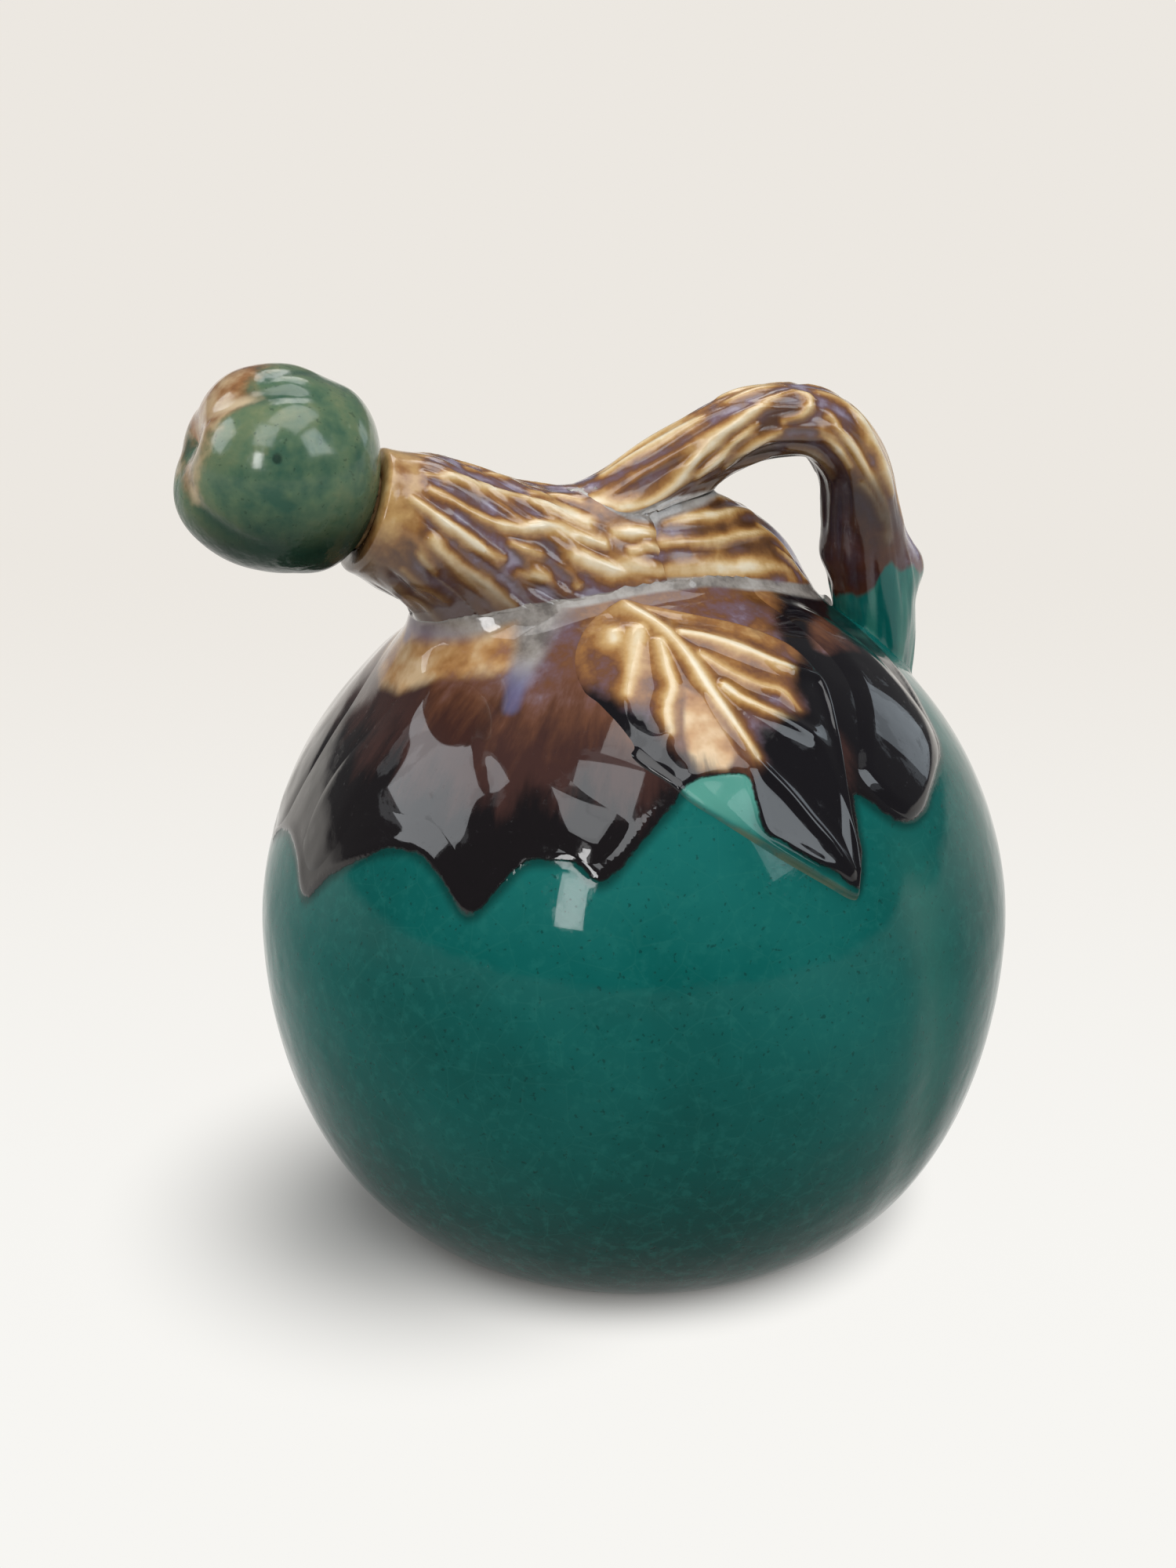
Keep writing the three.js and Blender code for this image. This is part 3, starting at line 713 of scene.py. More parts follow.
def limbTree():
    tree = bpy.data.node_groups.new("barkLimb", "GeometryNodeTree")
    tree.interface.new_socket("Path", in_out="INPUT", socket_type="NodeSocketGeometry")
    for name in ("Rings", "Sides"):
        tree.interface.new_socket(name, in_out="INPUT", socket_type="NodeSocketInt")
    for name in ("Streaks", "Streak Run", "Ridge Depth", "Twist", "Seed", "Smooth From", "Smooth To"):
        tree.interface.new_socket(name, in_out="INPUT", socket_type="NodeSocketFloat")
    tree.interface.new_socket("Glaze", in_out="INPUT", socket_type="NodeSocketMaterial")
    tree.interface.new_socket("Limb", in_out="OUTPUT", socket_type="NodeSocketGeometry")

    start = Wire(tree)
    given = start.put("NodeGroupInput")
    store = {"data_type": "FLOAT", "domain": "POINT"}
    path = start.put("GeometryNodeResampleCurve", {"mode": "COUNT"},
                     {"Curve": given.out("Path"), "Count": given.out("Rings")})
    path = start.put("GeometryNodeStoreNamedAttribute", store, {
        "Geometry": path, "Name": "along", "Value": start.put("GeometryNodeSplineParameter", out="Length")})
    circle = start.put("GeometryNodeCurvePrimitiveCircle", {"mode": "RADIUS"},
                       {"Resolution": given.out("Sides"), "Radius": 1.0})
    circle = start.put("GeometryNodeStoreNamedAttribute", store, {
        "Geometry": circle, "Name": "turn", "Value": start.put("GeometryNodeSplineParameter", out="Factor")})
    tube = start.put("GeometryNodeCurveToMesh", None, {
        "Curve": path, "Profile Curve": circle, "Fill Caps": True,
        "Scale": start.put("GeometryNodeInputRadius")})

    along = start.put("GeometryNodeInputNamedAttribute", {"data_type": "FLOAT"}, {"Name": "along"})
    turn = start.put("GeometryNodeInputNamedAttribute", {"data_type": "FLOAT"}, {"Name": "turn"})
    angle = turn * (2 * math.pi) + along * given.out("Twist")
    aside = start.put("ShaderNodeMath", {"operation": "COSINE"}, {0: angle})
    upward = start.put("ShaderNodeMath", {"operation": "SINE"}, {0: angle})

    def roughly(swirl, stretch, shift, detail=0.0):
        spot = start.put("ShaderNodeCombineXYZ", None, {
            "X": aside * swirl, "Y": upward * swirl, "Z": along * stretch})
        return start.put("ShaderNodeTexNoise", {"noise_dimensions": "4D"}, {
            "Vector": spot, "W": given.out("Seed") + shift, "Scale": 1.0,
            "Detail": detail, "Roughness": barkGrain["roughness"]}, "Fac")

    streak = roughly(given.out("Streaks"), given.out("Streak Run"), 0.0, barkGrain["detail"])
    fade = 1 - along.ease(given.out("Smooth From"), given.out("Smooth To"))
    ridge = streak.ease(*barkGrain["edge"]) * fade + 0.5 * (1 - fade)
    lump = (roughly(barkGrain["lumpSwirl"], barkGrain["lumpRun"], barkGrain["lumpSeed"]) - 0.5) * fade
    lift = (ridge - 0.5 + lump * barkGrain["lump"]) * given.out("Ridge Depth")
    offset = start.put("ShaderNodeVectorMath", {"operation": "SCALE"}, {
        0: start.put("GeometryNodeInputNormal"), "Scale": lift})
    skin = start.put("GeometryNodeStoreNamedAttribute", store, {
        "Geometry": tube, "Name": "ridge", "Value": ridge})
    skin = start.put("GeometryNodeSetPosition", None, {"Geometry": skin, "Offset": offset})
    skin = start.put("GeometryNodeRealizeInstances", None, {"Geometry": skin})
    skin = start.put("GeometryNodeSetMaterial", None, {"Geometry": skin, "Material": given.out("Glaze")})
    start.put("NodeGroupOutput", None, {"Limb": skin})
    return tree


barkLimb = limbTree()


def growLimb(name, path, radii, inputs, material):
    curve = bpy.data.curves.new(name, "CURVE")
    curve.dimensions = "3D"
    spline = curve.splines.new("POLY")
    spline.points.add(len(path) - 1)
    for point, place, radius in zip(spline.points, path * toMetres, radii * toMetres):
        point.co = (*place, 1)
        point.radius = radius
    limb = bpy.data.objects.new(name, curve)
    scene.collection.objects.link(limb)
    modifier = limb.modifiers.new("barkLimb", "NODES")
    modifier.node_group = barkLimb
    values = dict(inputs, Glaze=material)
    for item in barkLimb.interface.items_tree:
        if item.in_out == "INPUT" and item.name in values:
            modifier[item.identifier] = values[item.name]
    graph = bpy.context.evaluated_depsgraph_get()
    mesh = bpy.data.meshes.new_from_object(limb.evaluated_get(graph), depsgraph=graph)
    bpy.data.objects.remove(limb)
    faceOutward(mesh)
    return mesh


def readMesh(mesh, key=None):
    count = len(mesh.vertices)
    if key is None:
        values = np.zeros(count * 3, np.float32)
        mesh.vertices.foreach_get("co", values)
        return values.reshape(-1, 3).astype(float) * toMillimetres
    values = np.zeros(count, np.float32)
    mesh.attributes[key].data.foreach_get("value", values)
    return values.astype(float)


def writeMesh(mesh, points, marks):
    mesh.vertices.foreach_set("co", (points * toMetres).astype(np.float32).ravel())
    setMarks(mesh, marks)
    mesh.update()


def cutBore(mesh, cutter):
    body = bpy.data.objects.new("boreCut", mesh)
    tool = bpy.data.objects.new("boreTool", cutter)
    for item in (body, tool):
        scene.collection.objects.link(item)
    modifier = body.modifiers.new("bore", "BOOLEAN")
    modifier.operation = "DIFFERENCE"
    modifier.solver = "EXACT"
    modifier.object = tool
    graph = bpy.context.evaluated_depsgraph_get()
    result = bpy.data.meshes.new_from_object(body.evaluated_get(graph), depsgraph=graph)
    for item in (body, tool):
        bpy.data.objects.remove(item)
    return result


# Glaze marks on the shoulder, as azimuth and distance from the crown on the front: edge of the dark cap,
# stripes of slip, burnt and worn places and a warm glow.
darkCap = dict(
    front=[
        (-180, 107), (-174, 109.5), (-168, 115.5), (-162.5, 107), (-157, 100.5), (-151, 96), (-146, 95),
        (-141, 98), (-135, 105), (-131, 99), (-127.5, 92.5), (-123, 91), (-119, 91), (-115, 95),
        (-111, 89.5), (-106, 82), (-103, 78), (-100, 74), (-95, 72.5), (-89, 73), (-88.5, 79),
        (-88, 86), (-85, 89.5), (-81, 94), (-77, 98), (-74.2, 102), (-71.5, 96), (-70.3, 89),
        (-68.5, 83), (-67, 83), (-63, 89), (-59, 92.5), (-54, 92.5), (-48, 89), (-41, 86.5),
        (-35, 84), (-30, 77), (-24, 71), (-16, 62), (-8, 54), (0, 50),
    ],
    thickness=0.26, edgeRun=(-0.6, 0.9), bead=0.16, beadAt=1.0, beadWidth=1.4,
    stripeTaper=0.6, stripes=[
        ([(-155, 27), (-148, 36), (-144, 43), (-142, 50), (-139.5, 58)], 8.0),
        ([(-180, 26), (-180, 40), (-180, 54)], 8.0),
    ],
    burnt=[(-64, 54), (-60, 44), (-50, 38), (-34, 35), (0, 34), (0, 125), (-64, 125)],
    worn=[(-40, 40), (-21, 44), (-29, 57), (-36, 61), (-50, 54), (-53, 48)],
    wornRun=(-4.0, 6.0), wornClear=3,
    glow=[
        (-180, 64), (-179, 50), (-169, 44), (-154, 39), (-146, 42), (-146, 48), (-152, 51), (-161, 55),
        (-171, 62),
    ],
    glowRun=(-8.0, 1.5),
)


def capOutline():
    front = mapped(darkCap["front"])
    back = front[1:-1][::-1] * (1, -1)
    return curveThrough(np.vstack([front, back]), curveSteps["cap"], closed=True)


capLine = capOutline()


def capLift(edge):
    bead = hump(edge - darkCap["beadAt"], darkCap["beadWidth"])
    return darkCap["thickness"] * ease(edge, *darkCap["edgeRun"]) + darkCap["bead"] * bead


# The far side folded onto the front, which it mirrors.
def folded(flat):
    return np.column_stack([flat[:, 0], -np.abs(flat[:, 1])])


def stripePool(flat):
    pool = np.zeros(len(flat))
    for places, wide in darkCap["stripes"]:
        gap, share = lineDistance(folded(flat), curveThrough(mapped(places), curveSteps["stripe"]))
        pool = np.maximum(pool, hump(gap, wide * (1 - darkCap["stripeTaper"] * share)))
    return pool


def warmGlow(flat):
    return ease(insideDistance(folded(flat), mapped(darkCap["glow"])), *darkCap["glowRun"])


def sootAt(flat):
    worn = ease(insideDistance(folded(flat), mapped(darkCap["worn"])), *darkCap["wornRun"])
    return insideDistance(folded(flat), mapped(darkCap["burnt"])) * (1 - worn) - darkCap["wornClear"] * worn


# Places on a limb: distance along its path, and turn from its top toward the front.
def limbPlaces(points, path):
    steps = np.linalg.norm(np.diff(path, axis=0), axis=1)
    length = np.concatenate([[0], np.cumsum(steps)])
    best = np.full(len(points), np.inf)
    along = np.zeros(len(points))
    turn = np.zeros(len(points))
    facing = np.sign(path[-1][0] - path[0][0])
    for i, (a, b) in enumerate(zip(path, path[1:])):
        run = b - a
        share = np.clip((points - a) @ run / (run @ run), 0, 1)
        off = points - a - share[:, None] * run
        gap = np.linalg.norm(off, axis=1)
        nearer = np.flatnonzero(gap < best)
        best[nearer] = gap[nearer]
        along[nearer] = length[i] + share[nearer] * steps[i]
        up = facing * np.array([-run[2], 0, run[0]]) / steps[i]
        turn[nearer] = np.arctan2(-off[nearer, 1], off[nearer] @ up)
    return along, turn


# Height and tone of modelled bark ridges laid out flat; the far side is the mirror of the near side.
barkRidge = dict(width=0.9, flank=1.45, core=0.6, tone=(0.45, 0.5), ends=(0.45, 0.55))


def ridgeField(along, turn, girth, ridges):
    flat = np.column_stack([along, np.abs(turn) * girth])
    height = np.zeros(len(flat))
    tone = np.zeros(len(flat))
    least, gain = barkRidge["tone"]
    endTone, midTone = barkRidge["ends"]
    for places, rise, width in ridges:
        line = curveThrough([(a, math.radians(t) * girth) for a, t in places], curveSteps["ridge"])
        gap, share = lineDistance(flat, line)
        ends = 0.5 + 0.5 * np.sin(math.pi * share)
        height = np.maximum(height, rise * ends * hump(gap, barkRidge["width"] * width))
        flank = 0.5 * hump(gap, barkRidge["flank"] * width) + 0.5 * hump(gap, barkRidge["core"] * width)
        tone = np.maximum(tone, min(1, least + gain * rise) * (endTone + midTone * ends) * flank)
    return height, tone


# Under the spout the shoulder rises to meet it, and the web of slip is widest toward the mouth.
neck = dict(
    rise=8.0, back=(14.0, 36.0), front=(42.0, 68.0), breadth=17.0, above=(105.0, 125.0),
    # width at one end, what it gains, and the two places along X between which it gains it
    web=(10.0, 5.0, -20.0, -44.0), webSlip=(5.0, 8.0, -22.0, -46.0), forkSlip=(0.3, 5.0, -14.0, 0.0),
)


def neckRise(points):
    out = -points[:, 0]
    share = ease(out, *neck["back"]) * (1 - ease(out, *neck["front"])) * ease(points[:, 2], *neck["above"])
    return neck["rise"] * share * hump(points[:, 1], neck["breadth"])


def neckForm(points):
    gap, way = vesselForm(points)
    return gap - neckRise(points), way


def widening(least, gain, start, end):
    def width(points):
        return least + gain * ease(points[:, 0], start, end)
    return width


# What each piece is luted to: form, width of the fillet, width of the slip pooled in it.
spoutWeb = widening(*neck["web"])
webSlip = widening(*neck["webSlip"])
forkSlip = widening(*neck["forkSlip"])
bodyNeighbours = [(branchForm, spoutWeb, webSlip), (stumpEnd, 8.0, 5.0), (handleForm, 2.0, 1.0)]
spoutNeighbours = [(neckForm, spoutWeb, 2.4), (stumpEnd, 5.0, None), (handleForm, 8.0, forkSlip)]
stumpNeighbours = [(vesselForm, 8.0, 3.0), (branchForm, 5.0, None), (handleForm, 7.0, 6.0)]
handleNeighbours = [(branchForm, 8.0, 0.3), (stumpEnd, 7.0, 5.0), (vesselForm, 2.0, 0.6)]
luteReach = dict(body=2.0, spout=2.0, stump=4.0, handle=2.0)


# Rings on the shoulder's map: about the pour hole at the top, about the axis from the shoulder down.
def shoulderRings(downs, turn):
    flats = []
    for down in downs:
        centre = vessel["pourCentre"] * (1 - ease(down, vessel["pourHole"], vessel["centredBy"]))
        flats.append(np.column_stack([centre + down * np.cos(turn), down * np.sin(turn)]))
    return np.vstack(flats)


def aboveFoot(down, high, low):
    return 1 - ease(down, footDown - high, footDown - low)


def layBody(material):
    sides = vessel["sides"]
    turn = np.linspace(0, 2 * math.pi, sides, endpoint=False)
    first, second = vessel["bands"]
    topRings, middleRings, lowRings = vessel["bandRings"]
    flat = shoulderRings(np.concatenate([
        np.linspace(vessel["pourHole"], first, topRings, endpoint=False),
        np.linspace(first, second, middleRings, endpoint=False),
        np.linspace(second, footDown, lowRings),
    ]), turn)
    down = np.hypot(flat[:, 0], flat[:, 1])
    azimuth = np.arctan2(flat[:, 1], flat[:, 0])
    edge = insideDistance(flat, capLine)
    aside = (np.abs(azimuth) - math.radians(vessel["furrowTurn"])) * np.interp(down, tableDown, tableR)
    furrow = hump(aside, vessel["furrowWidth"]) * ease(down, *vessel["furrowFrom"])
    furrow *= aboveFoot(down, *vessel["furrowTo"])
    lift = capLift(edge) - vessel["furrowDepth"] * furrow
    wobble = np.sin(2 * azimuth + 0.6) * np.sin(down / 45) + 0.6 * np.sin(3 * azimuth + down / 30)
    wobble = vessel["wobble"] * wobble * ease(down, *vessel["wobbleFrom"])
    lift += wobble * aboveFoot(down, *vessel["wobbleTo"])
    lift += neckRise(onVessel(flat, 0 * down))
    points, pool = lute(onVessel(flat, lift), neckForm, bodyNeighbours, luteReach["body"])

    # foot underneath, then the inside from the floor up to the pour hole, and back out over its edge
    inside = np.linspace(footDown - vessel["insideFrom"], vessel["pourHole"], vessel["insideRings"])
    everything = np.vstack([
        points,
        *[ring(radius, turn, 0) for radius in vessel["footRings"]],
        *[ring(radius, turn, vessel["wall"]) for radius in vessel["floorRings"]],
        onVessel(shoulderRings(inside, turn), -vessel["wall"]),
    ])
    last = len(everything) - sides
    j = np.arange(sides)
    k = (j + 1) % sides
    edgeFaces = np.stack([last + j, last + k, k, j], axis=-1)
    faces = np.vstack([gridFaces(len(everything) // sides, sides, True), edgeFaces])
    # each mark outside, and what it is on the foot and inside
    marks = {
        "capEdge": (edge, bare["capEdge"]),
        "crownDist": (down, bare["crownDist"]),
        "pool": (np.maximum(pool, stripePool(flat)), 0.0),
        "relief": (vessel["relief"] + 0 * down, bare["relief"]),
        "furrow": (furrow, 0.0),
        "glow": (warmGlow(flat), 0.0),
        "soot": (sootAt(flat), bare["soot"]),
        "bareClay": (0 * down, 1.0),
    }
    rest = len(everything) - len(points)
    marks = {key: np.concatenate([values, np.full(rest, other)]) for key, (values, other) in marks.items()}
    return makePiece("gourdBody", everything, faces, marks, material)


# Leaves: outlines and ribs as azimuth and distance from the crown on the front; the back is their mirror.
# The rise falls to the edge over edgeRun, at the root and at the tip, and the root is sunk down to rootTo.
leafShapes = {
    "leaf": dict(
        outline=[
            (-118, 22.5), (-132, 30), (-133, 39), (-129.5, 47.5), (-123.5, 54.5), (-117.5, 60),
            (-110, 69), (-104.3, 73.8), (-98.6, 80), (-88, 90.4), (-79.3, 99.8), (-74.6, 104.5),
            (-72.6, 98.6), (-70, 85.6), (-63.6, 69.2), (-57, 57.8), (-55.2, 51.3), (-55.3, 45),
            (-59, 39.5), (-66.5, 33.7), (-80.5, 28.2), (-102, 23),
        ],
        midrib=[
            (-118, 23), (-107.3, 28.3), (-100.3, 33.5), (-95.6, 39.7), (-93, 46.3), (-91, 53.3), (-89, 59.4),
            (-87, 66.1), (-84.5, 73.3), (-81.7, 79), (-79.3, 85.3), (-77, 90.7), (-75, 97), (-74.6, 104),
        ],
        rise=1.2, edgeRun=(10.0, 1.5), relief=(0.34, 0.2), grid=(240, 60), shift=24.0, rootTo=0.0,
        # points, height, width, how much of the glaze has run off it
        ribs=[
            ([(-116.6, 24.5), (-107.3, 28.3), (-100.3, 33.5), (-95.6, 39.7), (-93, 46.3), (-91, 53.3),
              (-89, 59.4), (-87, 66.1), (-86, 70)], 1.9, 1.9, 1.0),
            ([(-86, 70), (-84.5, 73.3), (-81.7, 79), (-79.3, 85.3), (-77.1, 90.7), (-74.8, 98)],
             1.2, 1.1, 0.3),
            ([(-102.7, 25.4), (-81.8, 29.3), (-68, 34.6), (-60.4, 40.3), (-56.5, 45.4), (-56.1, 51.8)],
             0.8, 1.9, 0.7),
            ([(-93.3, 35.6), (-84.8, 37.8), (-76.2, 42.3), (-69.3, 47.9), (-65.1, 51.1)], 1.5, 1.4, 1.0),
            ([(-89.5, 42.3), (-83.9, 47.8), (-78.3, 52.2), (-72.5, 55.7), (-71.2, 61.2)], 0.6, 1.6, 0.55),
            ([(-87.3, 52.2), (-84.2, 55.9), (-79.6, 59.6), (-75.2, 63.4), (-71.8, 67.4)], 1.6, 1.5, 0.9),
            ([(-118, 24), (-126, 30.5), (-127.2, 38), (-125.5, 45), (-122.2, 51)], 0.35, 2.4, 0.1),
            ([(-118, 34.4), (-117.5, 37)], 0.5, 2.2, 0.75),
            ([(-108.3, 33.3), (-110.2, 41), (-111.3, 47), (-111.8, 52)], 0.8, 2.6, 0.85),
            ([(-101.4, 37.7), (-101, 44.2), (-100.5, 51), (-102.6, 56.5), (-102.3, 62)], 1.0, 2.0, 0.85),
            ([(-110, 68), (-104.3, 73), (-98.5, 79.2), (-92.8, 85), (-88, 89.5), (-79.3, 99), (-75, 103)],
             0.9, 1.1, 0.2),
            ([(-64.8, 51.4), (-58.1, 55), (-60.3, 61.4), (-64.3, 69), (-67.8, 77.3), (-70.4, 85.4),
              (-73.2, 98)], 1.2, 1.3, 0.05),
        ],
        # where the dark glaze lies thick, and where it is thin over pink clay
        burnt=False, dark=[
            [(-64, 50), (-67.3, 56.3), (-70.2, 62), (-77, 62), (-83, 63), (-85, 66.5), (-85.4, 71),
             (-87.3, 74.4), (-88.5, 81), (-88.5, 87), (-80, 99), (-74, 110), (-66, 95), (-60, 80), (-50, 62),
             (-50, 50)],
            [(-130, 52), (-120, 51), (-113, 54.5), (-107, 57), (-104, 62), (-102.5, 66), (-99, 71), (-99, 76),
             (-106, 80), (-114, 74), (-124, 62)],
        ],
        thin=[
            [(-97.4, 51.2), (-92.7, 54.5), (-90.3, 63.7), (-89.3, 68.4), (-92.3, 71.8), (-98.7, 71.5),
             (-99.6, 63.4)],
        ],
    ),
    "spoutLeaf": dict(
        outline=[
            (-172, 40), (-177, 70), (-177, 106), (-168, 115), (-157, 101), (-146, 95), (-135, 104),
            (-127, 93), (-115, 94), (-107, 82), (-117, 70), (-126, 60), (-139, 55), (-147, 44), (-156, 34),
        ],
        midrib=[(-156, 34), (-152, 50), (-144, 70), (-138, 88), (-135, 104)],
        rise=0.8, edgeRun=(20.0, 7.0), relief=(0.26, 0.26), grid=(150, 30), shift=0.0, rootTo=62.0,
        ribs=[
            ([(-160, 44), (-163, 70), (-167, 106)], 0.4, 4.0, 0.0),
            ([(-156, 44), (-144, 70), (-135, 97)], 0.4, 4.0, 0.0),
            ([(-151, 56), (-134, 72), (-117, 88)], 0.4, 4.0, 0.0),
        ],
        burnt=True, dark=[], thin=[],
    ),
    "handleLeaf": dict(
        outline=[
            (-42, 28), (-51, 54), (-61, 69), (-66, 80), (-58, 93), (-46, 90), (-34, 83), (-27, 69), (-22, 55),
            (-24, 34),
        ],
        midrib=[(-33, 30), (-37, 45), (-44, 64), (-52, 80), (-58, 93)],
        rise=1.2, edgeRun=(10.0, 4.0), relief=(0.4, 0.4), grid=(150, 30), shift=0.0, rootTo=0.0,
        ribs=[
            ([(-30, 36), (-34, 58), (-41, 82)], 0.4, 7.0, 0.0),
        ],
        burnt=True, dark=[], thin=[],
    ),
}
leafLay = dict(
    under=1.7, sunk=0.45, rooted=0.9, rootRun=14, kept=0.5, outward=(55, 95), reliefRun=(38, 62),
    # runs inward from the leaf's edge: ribs, dark cap, rib tone, which shortens down the leaf
    ribRun=(0.0, 1.4), capRun=(0.0, 1.0), toneRun=(-0.5, 6.0), toneLess=4.0, toneDown=(45, 60),
    thinRun=(-2.5, 2.0),
    # the same for how far the glaze shifts, where a painted reflection pales the green, and the worn rim
    shiftRun=(0, 7), sheenRun=(0.4, 2.4), sheenDown=(76, 92), rimRun=(0.6, 1.9),
)
leafRib = dict(height=0.85, taper=0.3, blunt=0.5, foot=1.2, power=1.4, halo=1.6, core=0.65)


# Height of a leaf's ribs, and how bare of glaze they are.
def ribField(flat, ribs, side):
    rise = np.zeros(len(flat))
    tone = np.zeros(len(flat))
    for line, height, width, bared in ribs:
        gap, along = lineDistance(flat, curveThrough(mapped(line, side), curveSteps["rib"]))
        taper = 1 - leafRib["taper"] * along
        soft = np.hypot(gap, leafRib["blunt"]) - leafRib["blunt"]
        flank = np.exp(-((soft / (leafRib["foot"] * width)) ** leafRib["power"]))
        rise = np.maximum(rise, leafRib["height"] * height * taper * flank)
        core = leafRib["core"] * width * taper
        tint = 0.5 * hump(gap, leafRib["halo"] * width) + 0.5 * hump(gap, core)
        tone = np.maximum(tone, tint * bared)
    return rise, tone


# A grid on either side of the midrib, its top on the shoulder and its underside in the wall.
def layLeaf(name, shape, side, material):
    outline = curveThrough(mapped(shape["outline"], side), curveSteps["outline"], closed=True)
    spine = curveThrough(mapped(shape["midrib"], side), curveSteps["midrib"])
    rootAt = int(np.argmin(np.linalg.norm(outline - spine[0], axis=1)))
    turned = np.roll(outline, -rootAt, axis=0)
    tipAt = int(np.argmin(np.linalg.norm(turned - spine[-1], axis=1)))
    spine[0] = turned[0]
    spine[-1] = turned[tipAt]
    rows, half = shape["grid"]
    one = evenly(turned[:tipAt + 1], rows)
    other = evenly(np.vstack([turned[tipAt:], turned[:1]])[::-1], rows)
    middle = evenly(spine, rows)
    share = np.linspace(0, 1, half + 1)
    left = middle[:, None] + (one - middle)[:, None] * share[::-1][None, :, None]
    right = middle[:, None] + (other - middle)[:, None] * share[None, 1:, None]
    columns = 2 * half + 1
    flat = np.concatenate([left, right], axis=1).reshape(-1, 2)

    edge = insideDistance(flat, outline)
    down = np.hypot(flat[:, 0], flat[:, 1])
    outward = ease(down, *leafLay["outward"])
    topRun, tipRun = shape["edgeRun"]
    run = topRun + (tipRun - topRun) * outward
    lift = shape["rise"] * ease(edge / run, -0.1, 1) - leafLay["sunk"]
    lift -= leafLay["rooted"] * (1 - ease(down, shape["rootTo"] - leafLay["rootRun"], shape["rootTo"]))
    topRelief, lowRelief = shape["relief"]
    relief = topRelief + (lowRelief - topRelief) * ease(down, *leafLay["reliefRun"])
    rise, tone = ribField(flat, shape["ribs"], side)
    toneFrom, toneTo = leafLay["toneRun"]
    toneTo = toneTo - leafLay["toneLess"] * ease(down, *leafLay["toneDown"])
    relief += (1 - relief) * tone * ease(edge, toneFrom, toneTo)
    soot = sootAt(flat) if shape["burnt"] else np.full(len(flat), bare["soot"])
    for region in shape["dark"]:
        soot = np.maximum(soot, insideDistance(flat, mapped(region, side)))
    glow = warmGlow(flat)
    for region in shape["thin"]:
        glow = np.maximum(glow, ease(insideDistance(flat, mapped(region, side)), *leafLay["thinRun"]))
    lift += rise * ease(edge, *leafLay["ribRun"])
    cap = insideDistance(flat, capLine)
    lift += capLift(cap) * ease(edge, *leafLay["capRun"])
    lift += neckRise(onVessel(flat, 0 * down))
    top, pool = lute(onVessel(flat, lift), neckForm, bodyNeighbours, luteReach["body"], leafLay["kept"])
    pool = np.maximum(pool, stripePool(flat))
    points = np.vstack([top, onVessel(flat, np.full(len(flat), -leafLay["under"]))])

    faces = gridFaces(rows, columns, False)
    count = rows * columns
    i = np.arange(rows - 1) * columns
    j = np.arange(rows - 1) * columns + columns - 1
    sides = [
        np.stack([i, i + columns, i + columns + count, i + count], axis=-1),
        np.stack([j + columns, j, j + count, j + columns + count], axis=-1),
    ]
    faces = np.vstack([faces, faces[:, ::-1] + count, *sides])
    marks = {"capEdge": cap, "crownDist": down, "pool": pool, "relief": relief, "soot": soot, "glow": glow}
    if shape["shift"]:
        marks["shift"] = shape["shift"] * (1 - ease(edge, *leafLay["shiftRun"])) * (1 - outward)
        # painted reflection: the leaf's green pales to mint inward of its edge and above its lower tips
        marks["thinGreen"] = ease(edge, *leafLay["sheenRun"]) * (1 - ease(down, *leafLay["sheenDown"]))
        marks["rim"] = 1 - ease(edge, *leafLay["rimRun"])
    marks = {key: np.tile(values, 2) for key, values in marks.items()}
    return makePiece(name, points, faces, marks, material)


def laySpout(material):
    lip = spout["lip"]
    share = np.linspace(0, math.pi / 2, spout["lipSteps"])
    back = branchLine[-1] - lip * spoutOut
    keep = (branchLine - back) @ spoutOut < 0
    turned = np.array([back + lip * math.sin(t) * spoutOut for t in share])
    path = np.vstack([branchLine[keep], turned])
    radii = np.concatenate([branchRadii[keep], branchRadii[-1] - lip * (1 - np.cos(share))])
    mesh = growLimb("spoutBranch", path, radii, spout["limb"], material)
    channel = channelPath()
    wide = spout["bore"] + spout["flare"] * ease((channel - mouth) @ spoutOut, *spout["flareRun"])
    tool = growLimb("channel", channel, wide, dict(spout["limb"], **spout["boreLimb"]), material)
    writeMesh(tool, readMesh(tool), {"ridge": np.full(len(tool.vertices), boreMark)})
    mesh = cutBore(mesh, tool)

    points = readMesh(mesh)
    ridge = readMesh(mesh, "ridge")
    inBore = ridge < 0.5 * boreMark
    gap, way = branchForm(points)
    outside = gap > -spout["skinDepth"]
    skin = outside & ~inBore
    along, turn = limbPlaces(points, branchLine)
    height, tone = ridgeField(along, turn, spout["radius"], spout["ridges"])
    height *= ease(along, *spout["ridgesFrom"])
    points = sinkInWall(points + (height * skin)[:, None] * way)
    points, pool = lute(points, branchForm, spoutNeighbours, luteReach["spout"])
    points -= (spout["endSink"] * (1 - ease(along, *spout["endRun"])) * skin)[:, None] * way
    base, fine, strong = spout["tone"]
    collar = ease(along, *spout["collarRun"]) * spout["collar"]
    writeMesh(mesh, points, {
        "pool": pool * outside,
        "drip": np.full(len(points), dry),
        "ridge": np.where(inBore, ridge, base + fine * ridge + np.maximum(strong * tone, collar)),
        # painted shade: the underside is marked darker by its downward normal
        "under": 1 - ease(way[:, 2], *spout["under"]),
    })
    return finishMesh("spoutBranch", mesh, material)


